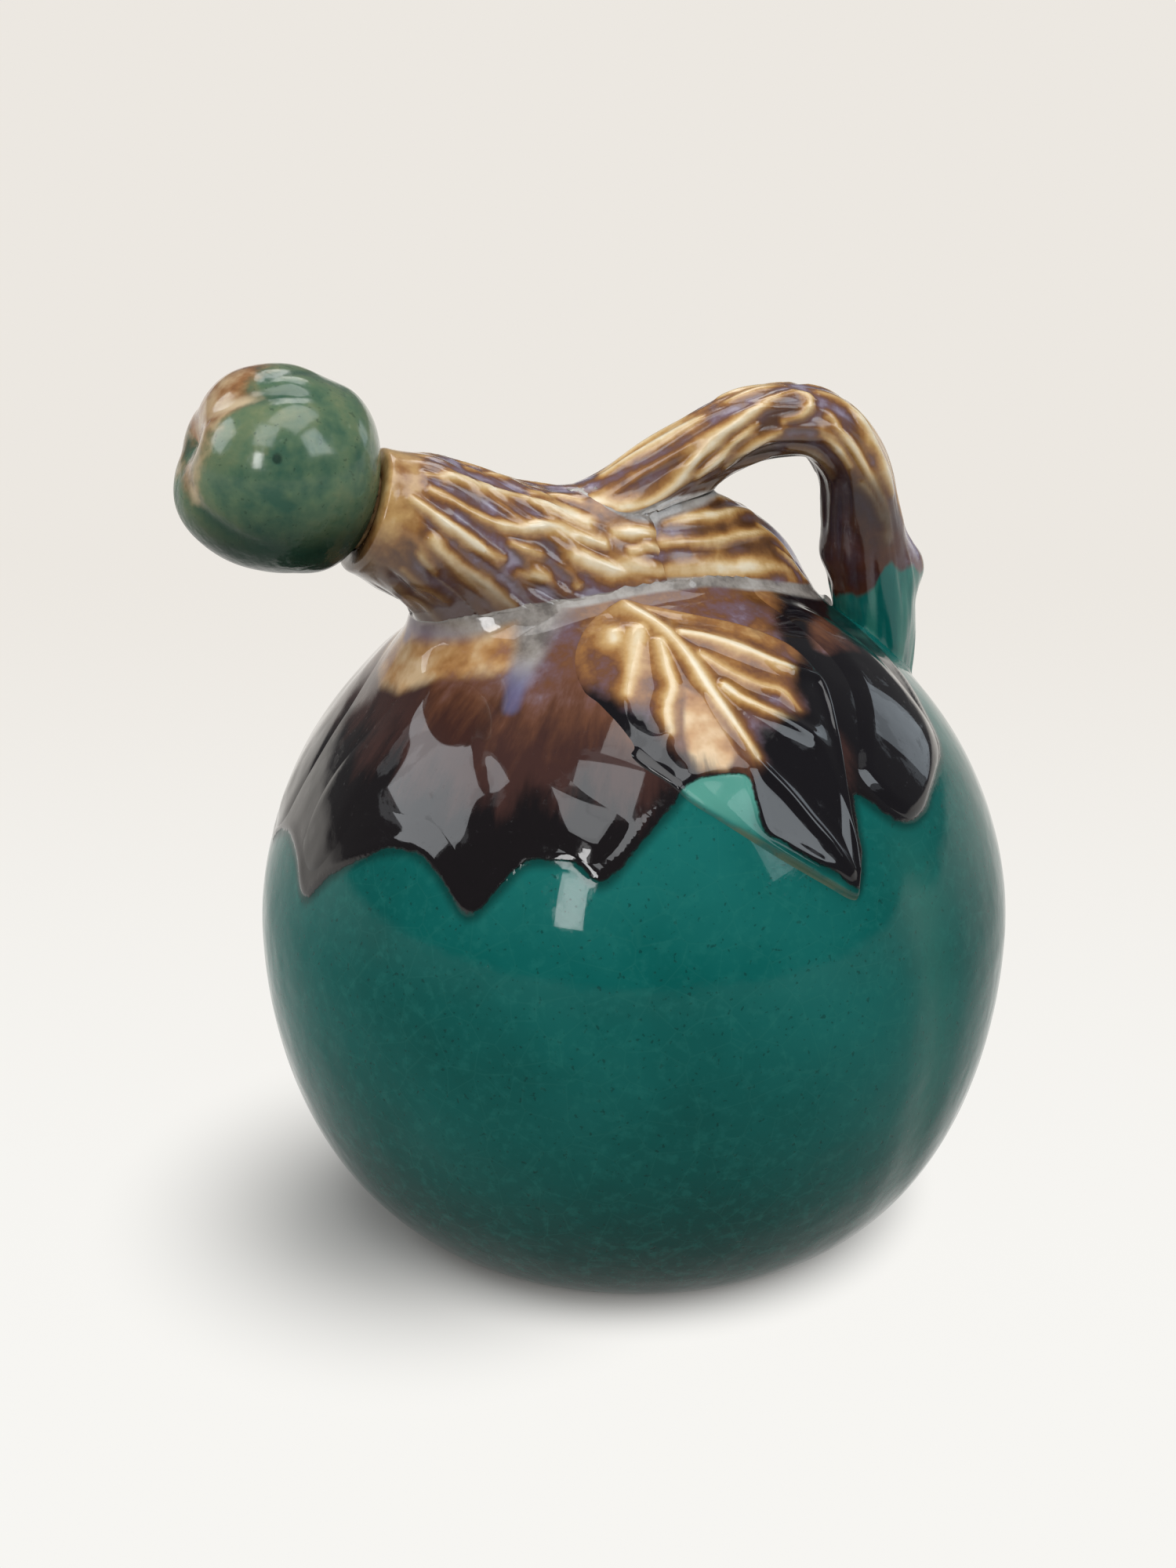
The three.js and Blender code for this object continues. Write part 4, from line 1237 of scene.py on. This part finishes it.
def layStump(material):
    rows, sides = stump["rows"], stump["sides"]
    tilt = np.repeat(np.linspace(0, math.pi, rows), sides)
    turn = np.tile(np.linspace(0, 2 * math.pi, sides, endpoint=False), rows)
    unit = np.column_stack([-np.cos(tilt), np.sin(tilt) * np.cos(turn), np.sin(tilt) * np.sin(turn)])
    centre, half = np.array(stump["centre"]), np.array(stump["half"])
    points = centre + unit * half
    _, way = stumpForm(points)
    local = (points - centre) / half
    along = points[:, 0]
    around = np.arctan2(-local[:, 1], local[:, 2])
    height, tone = ridgeField(along, around, stump["girth"], stump["ridges"])
    crease = hump(along - spout["end"] - stump["creaseAt"], stump["creaseWidth"])
    broken = np.sin(along / 6.3 + 5 * around)
    streak = 0.5 + 0.5 * np.sin(9 * around + 0.9 * np.sin(along / 4.1)) * broken
    points = points + (height + stump["streak"] * streak - stump["crease"] * crease)[:, None] * way
    points, pool = lute(sinkInWall(points), stumpForm, stumpNeighbours, luteReach["stump"])
    base, fine, strong = stump["tone"]
    marks = {
        "ridge": base + fine * streak + strong * tone - stump["creaseTone"] * crease,
        "pool": pool,
        "drip": np.full(len(points), dry),
        # painted shade: the underside is marked darker by its downward normal
        "under": 1 - ease(way[:, 2], *stump["under"]),
    }
    return makePiece("branchStump", points, gridFaces(rows, sides, True), marks, material)


# A pruned knot is an egg sunk in the handle, with the bark drawn up round it.
def raiseKnot(points, share, side, proud, run):
    at = int(share * (len(handleLine) - 1))
    ahead = handleLine[at + 1] - handleLine[at - 1]
    ahead /= np.linalg.norm(ahead)
    outward = np.array([ahead[2], 0, -ahead[0]]) * side
    place = handleLine[at] + outward * (arch["knotGirth"] + proud - arch["knotRadius"])
    knot = eggForm(place, [arch["knotRadius"]] * 3)
    points, _ = lute(points, handleForm, [(knot, run, arch["knotSlip"])], arch["knotReach"])
    return points


def layHandle(material):
    mesh = growLimb("handleBranch", handleLine, handleRadii, arch["limb"], material)
    points = readMesh(mesh)
    ridge = readMesh(mesh, "ridge")
    _, way = handleForm(points)
    along, turn = limbPlaces(points, handleLine)
    height, tone = ridgeField(along, turn, arch["radius"], arch["ridges"])
    points = points + height[:, None] * way
    for share, side, proud, run in arch["knots"]:
        points = raiseKnot(points, share, side, proud, run)
    points, pool = lute(sinkInWall(points), handleForm, handleNeighbours, luteReach["handle"])

    compass = np.arctan2(points[:, 1], points[:, 0] - arch["reach"])
    outer = 0.5 + 0.5 * np.cos(compass)
    waves = sum(size * np.sin(count * compass + phase) for size, count, phase in arch["drips"])
    drip = points[:, 2] - arch["dripHeight"] - (waves + arch["dripOuter"] * outer)
    sootFrom, sootTo = (arch["sootHeight"] + run for run in arch["sootRun"])
    soot = 1 - ease(points[:, 2] - arch["sootLean"] * (1 - outer), sootFrom, sootTo)
    soot *= 1 - arch["sootLess"] * ease(outer, *arch["sootTurn"])
    leg = ease(points[:, 0], *(share * arch["reach"] for share in arch["legRun"]))
    base, fine, strong = arch["tone"]
    writeMesh(mesh, points, {
        "pool": pool,
        "ridge": base + fine * ridge + strong * tone,
        "drip": dry + (drip - dry) * leg,
        "soot": soot * leg,
        # painted shade: the underside is marked darker by its downward normal
        "under": 1 - ease(way[:, 2], *arch["under"]),
    })
    return finishMesh("handleBranch", mesh, material)


# Stopper: upright on its own axis, then laid along the spout.
fruit = dict(
    radius=22.8, half=22.2, base=10.0, wall=4.5, seat=0.8, offset=2.5, offsetRun=12.0,
    dimple=3.0, dimpleRadius=6.0, sides=220, rows=130, insideRows=24,
    tang=4.6, tangBore=1.6, tangLength=13.0, collar=(7.2, 1.0), fillet=0.6,
    tangRound=0.4, boreRound=0.3, boreTop=-2,
    # creases from the flower end: degrees from the top, sway, depth, width in mm, height where it runs out
    creases=[
        (-36, 10, 1.7, 2.2, 0.34), (-140, 26, 1.5, 2.4, 0.30),
        (118, 14, 1.4, 2.6, 0.30), (48, -12, 1.2, 2.4, 0.40),
    ],
    # how they fade at the flower end, and how their flanks spread
    creaseFull=0.82, creaseEnd=(0.86, 1.0), creaseLess=0.55, creaseLeast=5.0,
    creaseCore=0.55, creaseFlank=0.45, creaseSpread=3.2,
    # swellings: degrees from the flower end and from the top, height, width and breadth in degrees
    swellings=[
        (0, 0, -0.9, 18, 400), (43, 0, 0.8, 16, 60), (41, 180, 1.3, 20, 60), (97, 180, -0.9, 22, 60),
        (98, 0, -0.7, 14, 60), (130, 0, 1.9, 18, 70),
    ],
    oval=0.012, ovalTurn=0.5, smoothTo=0.2, fullFrom=0.55, pole=3,
    # one scored stroke: degrees from the top, lean, where it begins and ends
    stroke=dict(
        at=-14, lean=40, leanFrom=0.7, low=0.52, high=0.74, fadeIn=0.08, fadeOut=0.06, width=1.9, depth=0.25,
    ),
    # brown round the flower end: height of its edge, and the tongue where it comes lower
    brownFrom=0.96, tongue=0.28, tongueAt=12, tongueBreadth=45,
    # under: the drop below the middle, in shares of the radius, over which painted shade darkens the lower
    # half
    under=(-0.1, 0.55), gloss=(-0.5, 0.0), spot=(-0.148, -0.889, 0.433), noSpot=90,
)
cork = dict(length=20.0, radius=9.0, taper=0.9, chamfer=0.8, gap=0.3, sides=72, rings=9)
fruitLow = math.acos(fruit["base"] / fruit["radius"])
fruitMiddle = fruit["seat"] + fruit["half"] * math.sin(fruitLow)


def alongSpout(points):
    tilt = math.radians(spout["slope"]) - math.pi / 2
    turned = np.column_stack([
        points[:, 0] * math.cos(tilt) + points[:, 2] * math.sin(tilt),
        points[:, 1],
        points[:, 2] * math.cos(tilt) - points[:, 0] * math.sin(tilt),
    ])
    return turned + mouth


def fruitShell(tilt, wall):
    radius = (fruit["radius"] - wall) * np.clip(np.cos(tilt), 0, 1)
    dip = fruit["dimple"] * hump(radius, fruit["dimpleRadius"]) * (tilt > 0)
    return np.column_stack([radius, fruitMiddle + (fruit["half"] - wall) * np.sin(tilt) - dip])


# From the flower end down the outside, round the tang and up the inside.
def fruitProfile():
    outside = fruitShell(np.linspace(math.pi / 2, -fruitLow, fruit["rows"]), 0.0)
    tang, bore, end = fruit["tang"], fruit["tangBore"], -fruit["tangLength"]
    collar, rise = fruit["collar"]
    soft, softBore = fruit["tangRound"], fruit["boreRound"]
    stem = np.array([
        (collar, rise), (tang + fruit["fillet"], rise), (tang, soft), (tang, end / 2), (tang, end + soft),
        (tang - soft, end), (bore + softBore, end), (bore, end + softBore), (bore, fruit["boreTop"]),
    ])
    innerLow = math.acos(bore / (fruit["radius"] - fruit["wall"]))
    inside = fruitShell(np.linspace(-innerLow, math.pi / 2, fruit["insideRows"]), fruit["wall"])
    return np.vstack([outside, stem, inside])


def fruitCreases(angle, r, height):
    crease = np.zeros(len(r))
    sunk = np.zeros(len(r))
    for at, sway, depth, width, low in fruit["creases"]:
        aside = angle - np.radians(at + sway * (1 - height))
        aside = np.abs(wrapped(aside)) * np.maximum(r, fruit["creaseLeast"])
        strength = ease(height, low, fruit["creaseFull"])
        strength = strength * (1 - fruit["creaseLess"] * ease(height, *fruit["creaseEnd"]))
        core = hump(aside, width)
        crease = np.maximum(crease, strength * core)
        broad = fruit["creaseCore"] * core + fruit["creaseFlank"] * hump(aside, fruit["creaseSpread"] * width)
        sunk = np.maximum(sunk, depth * strength * broad)
    return crease, sunk


def fruitStroke(angle, r, height):
    mark = fruit["stroke"]
    lean = mark["at"] + mark["lean"] * (mark["leanFrom"] - height)
    aside = np.abs(wrapped(angle - np.radians(lean))) * r
    begun = ease(height, mark["low"] - mark["fadeIn"], mark["low"])
    ended = ease(height, mark["high"], mark["high"] + mark["fadeOut"])
    return hump(aside, mark["width"]) * begun * (1 - ended)


def layFruit(material):
    profile = fruitProfile()
    sides = fruit["sides"]
    angle = np.tile(np.linspace(0, 2 * math.pi, sides, endpoint=False), len(profile))
    r = np.repeat(profile[:, 0], sides)
    z = np.repeat(profile[:, 1], sides)
    outer = np.repeat(np.arange(len(profile)) < fruit["rows"], sides)
    height = (z - fruit["seat"]) / (fruitMiddle + fruit["half"] - fruit["seat"])
    full = ease(r, fruit["smoothTo"] * fruit["dimpleRadius"], fruit["fullFrom"] * fruit["radius"]) * outer
    crease, sunk = (values * outer for values in fruitCreases(angle, r, height))
    stroke = fruitStroke(angle, r, height) * outer
    swell = -(sunk + fruit["stroke"]["depth"] * stroke) * full
    fromEnd = np.degrees(np.arctan2(r, z - fruitMiddle))
    for at, around, rise, width, breadth in fruit["swellings"]:
        aside = np.degrees(wrapped(angle - math.radians(around)))
        swell += rise * np.exp(-(((fromEnd - at) / width) ** 2) - (aside / breadth) ** 2) * outer
    slope = (z - fruitMiddle) / fruit["half"]
    oval = 1 + fruit["oval"] * np.sin(2 * angle + fruit["ovalTurn"]) * full
    r = r * oval + swell * np.sqrt(np.clip(1 - slope**2, 0, 1)) * ease(r, 0, fruit["pole"])
    z = z + swell * np.clip(slope, -1, 1)
    x = r * np.cos(angle) + fruit["offset"] * ease(z, fruit["seat"], fruit["seat"] + fruit["offsetRun"])
    points = alongSpout(np.column_stack([x, r * np.sin(angle), z]))

    tall = wrapped(angle - math.radians(fruit["tongueAt"])) / math.radians(fruit["tongueBreadth"])
    calyx = np.where(outer, height - fruit["brownFrom"] + fruit["tongue"] * np.exp(-(tall**2)), -1)
    centre = alongSpout(np.array([[0, 0, fruitMiddle]]))
    drop = (centre[:, 2] - points[:, 2]) / fruit["radius"]
    away = (points - centre) / np.linalg.norm(points - centre, axis=1)[:, None]
    turned = np.degrees(np.arccos(np.clip(away @ np.array(fruit["spot"]), -1, 1)))
    marks = {
        "crease": crease,
        "stroke": stroke,
        "calyx": calyx,
        # painted shade: the lower half is marked darker
        "under": ease(drop, *fruit["under"]),
        "gloss": 1 - ease(drop, *fruit["gloss"]),
        "spot": np.where(outer, turned, fruit["noSpot"]),
    }
    return makePiece("stopperFruit", points, gridFaces(len(profile), sides, True), marks, material)


def layCork(material):
    top = fruit["seat"] - cork["gap"]
    low = top - cork["length"]
    foot = cork["radius"] - cork["taper"]
    hole = fruit["tang"] + cork["gap"]
    pit = -fruit["tangLength"] - cork["gap"]
    chamfer = cork["chamfer"]
    nose = 0.25 * chamfer
    flank = cork["length"] - 2 * chamfer
    shares = np.linspace(0.1, 0.9, cork["rings"])
    profile = np.array([
        (0, low), (foot * 0.5, low), (foot - chamfer, low), (foot - nose, low + nose), (foot, low + chamfer),
        *[(foot + cork["taper"] * share, low + chamfer + flank * share) for share in shares],
        (cork["radius"], top - chamfer), (cork["radius"] - nose, top - nose), (cork["radius"] - chamfer, top),
        (hole, top), (hole, pit), (0, pit),
    ])
    sides = cork["sides"]
    turn = np.linspace(0, 2 * math.pi, sides, endpoint=False)
    points = np.vstack([ring(r, turn, z) for r, z in profile])
    return makePiece("stopperCork", alongSpout(points), gridFaces(len(profile), sides, True), {}, material)


# Glazes. The two bark ramps run from pooled grooves to bare ridges.
barkRamp = [
    (0.0, (0.36, 0.33, 0.42)), (0.13, (0.31, 0.26, 0.34)), (0.24, (0.18, 0.11, 0.13)),
    (0.34, (0.18, 0.078, 0.042)), (0.46, (0.34, 0.155, 0.05)), (0.64, (0.60, 0.37, 0.15)),
    (0.84, (0.80, 0.61, 0.36)), (1.0, (0.88, 0.76, 0.56)),
]
amberRamp = [
    (0.0, (0.10, 0.045, 0.022)), (0.16, (0.085, 0.034, 0.014)), (0.30, (0.15, 0.060, 0.018)),
    (0.46, (0.33, 0.152, 0.042)), (0.64, (0.55, 0.325, 0.115)), (0.84, (0.78, 0.58, 0.32)),
    (1.0, (0.87, 0.745, 0.54)),
]
bodyGreen = [(0.3, (0.001, 0.084, 0.073)), (0.5, (0.003, 0.120, 0.105)), (0.72, (0.010, 0.160, 0.140))]
slipGrey = [(0.34, (0.17, 0.150, 0.135)), (0.5, (0.33, 0.300, 0.270)), (0.66, (0.45, 0.42, 0.39))]


def greenOf(start, spot):
    return start.noise(spot, 16.0, 4.0, 0.55).ramp(bodyGreen)


# Grooves hold a lilac bloom in some places and plain brown glaze in others.
def barkOf(start, spot, tone):
    bloom = start.noise(spot, 42.0, 2.0).ease(0.36, 0.52)
    return bloom.blend(tone.ramp(amberRamp), tone.ramp(barkRamp))


def slipOf(start, spot):
    return start.noise(spot, 120.0, 4.0, 0.65).ramp(slipGrey)


# Body and leaves: scales of the noises, then the tints of the green and of the dark cap.
shoulder = dict(
    cloud=34.0, grain=150.0, fleck=900.0, mottle=380.0, crazing=120.0, streaks=11.0, skin=55.0,
    bumpDepth=0.0009, ior=1.17, coatBlur=0.03,
    # the darker foot green on the next line is painted shade low on the belly
    fleckGreen=(0.001, 0.035, 0.030), footShadeGreen=(0.001, 0.028, 0.023), crackGreen=(0.03, 0.20, 0.16),
    # the furrow's paler green on the next line is a painted highlight
    furrowHighlightGreen=(0.05, 0.22, 0.17), wornGreen=(0.20, 0.26, 0.19), mottleGreen=(0.020, 0.190, 0.160),
    # the pale mint that opens the next line is a painted reflection on the leaf's green
    thinGreen=(0.11, 0.36, 0.29), rimGreen=(0.13, 0.15, 0.07), edgeGreen=(0.001, 0.030, 0.026),
    brown=(0.17, 0.068, 0.034), umber=(0.055, 0.023, 0.019), black=(0.007, 0.005, 0.006),
    burnt=(0.006, 0.005, 0.007), poolBlue=(0.13, 0.17, 0.36), clay=(0.42, 0.30, 0.19),
    glow=[(0.3, (0.35, 0.145, 0.042)), (0.5, (0.58, 0.32, 0.13)), (0.7, (0.76, 0.54, 0.31))],
)


# Green of the belly: specks, painted shade darkening the foot, hairline cracks, a painted highlight in the
# furrow, a worn edge, a painted reflection paling the leaf's green, and a dark line along the cap.
def bellyGreen(start, spot, height, cloud, grain, fleck, worn):
    # painted reflection: the mark where the leaf's green is paled to mint
    thin = start.mark("thinGreen")
    green = greenOf(start, spot)
    green = (fleck.ease(0.66, 0.74) * 0.55).blend(green, shoulder["fleckGreen"])
    # painted shade: the lowest part of the belly is darkened
    green = ((1 - height.ease(0.0, 0.08)) * 0.85).blend(green, shoulder["footShadeGreen"])
    cracks = 1 - start.cells(spot, shoulder["crazing"], "DISTANCE_TO_EDGE").ease(0.0, 0.03)
    green = (cracks * 0.14).blend(green, shoulder["crackGreen"])
    # painted highlight: the furrow is paled
    green = (start.mark("furrow") * 0.3).blend(green, shoulder["furrowHighlightGreen"])
    green = (worn * 0.75).blend(green, shoulder["wornGreen"])
    mottle = start.noise(spot, shoulder["mottle"], 3.0, 0.6)
    green = (mottle.ease(0.48, 0.72) * 0.3).blend(green, shoulder["mottleGreen"])
    # painted reflection on the leaf's green
    green = (thin * (0.5 + cloud * 0.7)).blend(green, shoulder["thinGreen"])
    green = (start.mark("rim") * grain.ease(0.3, 0.55) * 0.6).blend(green, shoulder["rimGreen"])
    # darker green in a line just below the cap's edge
    capEdgeLine = start.mark("capEdge").ease(-3.2, -0.2) * (1 - thin) * 0.75
    return capEdgeLine.blend(green, shoulder["edgeGreen"])


# Dark cap: bark tones at the crown, brown and then black down the runs, with glow, soot and slip over them.
def capColour(start, spot, cloud, grain, fleck, brownTo, blackFrom):
    crown, relief, glow = start.mark("crownDist"), start.mark("relief"), start.mark("glow")
    bark = barkOf(start, spot, relief + grain.swing(0.5) + cloud.swing(0.7) + fleck.swing(0.1))
    ray = spot.vector("MULTIPLY", (1.0, 1.0, 0.12)).vector("NORMALIZE")
    streak = start.noise(ray, shoulder["streaks"], 4.0, 0.6)
    far = crown + cloud.swing(22.0) + streak.swing(34.0) + grain.swing(9.0) + start.mark("shift")
    brown = far.ease(brownTo - 14.0, brownTo + 4.0).blend(shoulder["brown"], shoulder["umber"])
    cap = (far - relief * 12.0).ease(brownTo - 30.0, brownTo - 8.0).blend(bark, brown)
    warm = (grain + cloud.swing(0.6)).ramp(shoulder["glow"])
    patchy = cloud.swing(1.2) + streak.swing(0.9) + grain.swing(0.5)
    cap = (glow + patchy * glow).ease(0.32, 1.0).blend(cap, warm)
    cap = far.ease(blackFrom - 13.0, blackFrom).blend(cap, shoulder["black"])
    burnt = (start.mark("soot") + grain.swing(6.0) + cloud.swing(5.0)).ease(-2.6, 2.2)
    cap = burnt.blend(cap, shoulder["burnt"])
    pooled = (start.mark("pool") * (0.5 + cloud)).ease(0.3, 0.9) * (1 - crown.ease(40.0, 60.0) * 0.5)
    poolColour = crown.ease(44.0, 56.0).blend(slipOf(start, spot), shoulder["poolBlue"])
    return pooled.blend(cap, poolColour)


def shoulderGlaze(name, brownTo, blackFrom):
    material, start = newGlaze(name)
    spot = start.spot()
    clay = start.mark("bareClay")
    height = start.put("ShaderNodeSeparateXYZ", None, {"Vector": spot}, "Z")
    cloud = start.noise(spot, shoulder["cloud"], 3.0)
    grain = start.noise(spot, shoulder["grain"], 3.0)
    fleck = start.noise(spot, shoulder["fleck"], 1.0)
    worn = (1 - (height + grain.swing(0.012)).ease(0.001, 0.0085)) * grain.ease(0.35, 0.6)
    green = bellyGreen(start, spot, height, cloud, grain, fleck, worn)
    cap = capColour(start, spot, cloud, grain, fleck, brownTo, blackFrom)
    dark = (start.mark("capEdge") + grain.swing(2.2) + fleck.swing(0.7)).ease(-0.3, 0.3)
    colour = clay.blend(dark.blend(green, cap), shoulder["clay"])
    rough = 0.07 + worn * 0.4 + clay * 0.5 + grain * 0.03
    skin = start.noise(spot, shoulder["skin"], 2.0) * (0.6 + dark * 1.2)
    skin = skin + grain * 0.12 + fleck * 0.02 - fleck.ease(0.70, 0.76) * 0.03
    coat = dark * (1 - clay) * 0.8 + (1 - dark) * height.ease(0.085, 0.108) * 0.35
    fire(start, shoulder, colour, rough, skin, coat)
    return material


# Spout, stump and handle: honey bark with slip in the forks, painted shade darkening the undersides, soot and
# green runs on the handle's leg.
barkLook = dict(
    cloud=45.0, grain=190.0, fleck=800.0, runs=240.0, bumpDepth=0.0009, ior=1.35, coatBlur=0.22,
    # under: the dark brown of the painted shade on the undersides
    under=(0.065, 0.026, 0.012), sootBlack=(0.018, 0.010, 0.014), sootRed=(0.075, 0.022, 0.012),
    runGreen=(0.05, 0.235, 0.185), bore=(0.10, 0.045, 0.02),
)


def barkGlaze(name):
    material, start = newGlaze(name)
    spot = start.spot()
    ridge, pool, drip = start.mark("ridge"), start.mark("pool"), start.mark("drip")
    soot, under = start.mark("soot"), start.mark("under")
    cloud = start.noise(spot, barkLook["cloud"], 3.0)
    grain = start.noise(spot, barkLook["grain"], 3.0)
    fleck = start.noise(spot, barkLook["fleck"], 1.0)
    tone = ridge * 0.84 + 0.12 + grain.swing(0.6) + cloud.swing(0.75) + fleck.swing(0.1)
    bark = barkOf(start, spot, tone)
    # painted shade: the undersides are darkened toward dark brown
    bark = (under * (0.5 + cloud * 0.7)).blend(bark, barkLook["under"])
    bark = (pool * (0.3 + cloud * 0.8 + grain * 0.6)).ease(0.3, 0.9).blend(bark, slipOf(start, spot))
    sootColour = cloud.ease(0.4, 0.65).blend(barkLook["sootBlack"], barkLook["sootRed"])
    sooted = (soot + cloud.swing(0.9) + grain.swing(0.4)).ease(0.2, 0.9) * 0.88
    bark = sooted.blend(bark, sootColour)
    runs = start.noise(spot.vector("MULTIPLY", (1.0, 1.0, 0.1)), barkLook["runs"], 2.0)
    green = (runs.ease(0.42, 0.62) * 0.8).blend(greenOf(start, spot), barkLook["runGreen"])
    colour = (drip + grain.swing(3.0) + runs.swing(5.0)).ease(-0.9, 0.9).blend(green, bark)
    inBore = 1 - ridge.ease(-0.6, -0.3)
    colour = inBore.blend(colour, barkLook["bore"])
    rough = 0.10 + grain * 0.06 + inBore * 0.3
    skin = grain * 0.25 + fleck * 0.03 + cloud * 0.4
    fire(start, barkLook, colour, rough, skin, 0.8 - soot * 0.5)
    return material


# Stopper fruit: mottled sage, painted shade on its lower half, brown round the flower end, one ringed spot.
fruitLook = dict(
    cloud=60.0, grain=260.0, fleck=900.0, pits=95.0, bumpDepth=0.0012, ior=1.25, coatBlur=0.13,
    sage=[
        (0.28, (0.038, 0.110, 0.072)), (0.45, (0.102, 0.175, 0.098)), (0.60, (0.165, 0.215, 0.112)),
        (0.8, (0.30, 0.30, 0.16)),
    ],
    warm=[(0.35, (0.12, 0.050, 0.028)), (0.48, (0.30, 0.14, 0.055)), (0.66, (0.52, 0.36, 0.20))],
    # the last green on the next line is the painted shade of the lower half
    fleckGreen=(0.03, 0.06, 0.035), creaseGreen=(0.008, 0.065, 0.045), underShadeGreen=(0.003, 0.028, 0.018),
    ringTan=(0.30, 0.26, 0.13), spotGreen=(0.012, 0.035, 0.024), creaseTan=(0.60, 0.46, 0.29),
)


def fruitGlaze(name):
    material, start = newGlaze(name)
    place = start.spot()
    crease, calyx, under = start.mark("crease"), start.mark("calyx"), start.mark("under")
    stroke, spot, gloss = start.mark("stroke"), start.mark("spot"), start.mark("gloss")
    cloud = start.noise(place, fruitLook["cloud"], 4.0, 0.6)
    grain = start.noise(place, fruitLook["grain"], 3.0)
    fleck = start.noise(place, fruitLook["fleck"], 1.0)
    sage = (cloud + grain.swing(0.4)).ramp(fruitLook["sage"])
    sage = (fleck.ease(0.66, 0.74) * 0.5).blend(sage, fruitLook["fleckGreen"])
    sage = (crease * 0.75 + stroke * 0.7).blend(sage, fruitLook["creaseGreen"])
    # painted shade: the lower half of the fruit is darkened
    sage = (under * (0.7 + cloud * 0.4)).blend(sage, fruitLook["underShadeGreen"])
    halo = spot.ease(2.5, 4.0) * (1 - spot.ease(4.5, 9.0)) * cloud.ease(0.4, 0.55)
    sage = (halo * 0.7).blend(sage, fruitLook["ringTan"])
    sage = ((1 - (spot + grain.swing(4.0)).ease(1.6, 3.4)) * 0.85).blend(sage, fruitLook["spotGreen"])
    warm = (cloud + grain.swing(0.5)).ramp(fruitLook["warm"])
    warm = (crease * (0.3 + cloud)).ease(0.3, 0.9).blend(warm, fruitLook["creaseTan"])
    reached = calyx - under * 0.1 + cloud.swing(0.26) + grain.swing(0.08) + crease * 0.06
    colour = reached.ease(-0.05, 0.07).blend(sage, warm)
    pit = 1 - start.cells(place, fruitLook["pits"]).ease(0.03, 0.11)
    rough = 0.16 + grain * 0.08
    skin = cloud * 0.9 + grain * 0.15 - pit * 0.12
    fire(start, fruitLook, colour, rough, skin, gloss * 0.85)
    return material


corkLook = dict(
    cells=520.0, cloud=180.0, pores=420.0, bumpDepth=0.0006, ior=1.35, coatBlur=0.03,
    poreBrown=(0.09, 0.04, 0.018),
    tan=[(0.3, (0.20, 0.10, 0.04)), (0.5, (0.38, 0.21, 0.09)), (0.7, (0.55, 0.34, 0.16))],
)


def corkGrain(name):
    material, start = newGlaze(name)
    spot = start.spot()
    cells = start.cells(spot, corkLook["cells"])
    cloud = start.noise(spot, corkLook["cloud"], 4.0, 0.6)
    pores = start.noise(spot, corkLook["pores"], 2.0).ease(0.6, 0.68)
    tan = (cloud + (cells - 0.4) * 0.3).ramp(corkLook["tan"])
    colour = (pores * 0.8).blend(tan, corkLook["poreBrown"])
    rough = 0.8 + cloud * 0.1
    fire(start, corkLook, colour, rough, cells * 0.4 - pores, 0.0)
    return material


greenGlaze = shoulderGlaze("greenGlaze", 64.0, 83.0)
warmLeafGlaze = shoulderGlaze("warmLeafGlaze", 78.0, 82.0)
darkLeafGlaze = shoulderGlaze("darkLeafGlaze", 50.0, 62.0)
honeyBark = barkGlaze("honeyBark")
sageGlaze = fruitGlaze("sageGlaze")
plainCork = corkGrain("plainCork")
print("glazes mixed")

pieces = [
    (layBody(greenGlaze), "jug", "green_glaze", "gourd_body"),
    (laySpout(honeyBark), "jug", "bark_glaze", "spout_branch"),
    (layStump(honeyBark), "jug", "bark_glaze", "branch_stump"),
    (layHandle(honeyBark), "jug", "bark_glaze", "handle_branch"),
    (layFruit(sageGlaze), "stopper", "sage_glaze", "stopper_fruit"),
    (layCork(plainCork), "stopper", "cork", "stopper_cork"),
]
leafGlazes = {"leaf": warmLeafGlaze, "spoutLeaf": greenGlaze, "handleLeaf": darkLeafGlaze}
leafNodes = {"leaf": "leaf", "spoutLeaf": "spout_leaf", "handleLeaf": "handle_leaf"}
for half, side in (("front", 1), ("back", -1)):
    for key, shape in leafShapes.items():
        leaf = layLeaf(half + key[0].upper() + key[1:], shape, side, leafGlazes[key])
        pieces.append((leaf, "jug", "leaf_glaze", half + "_" + leafNodes[key]))
for piece, body, slot, node in pieces:
    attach(piece, body)
    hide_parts(node)
print("pieces placed:", len(pieces))
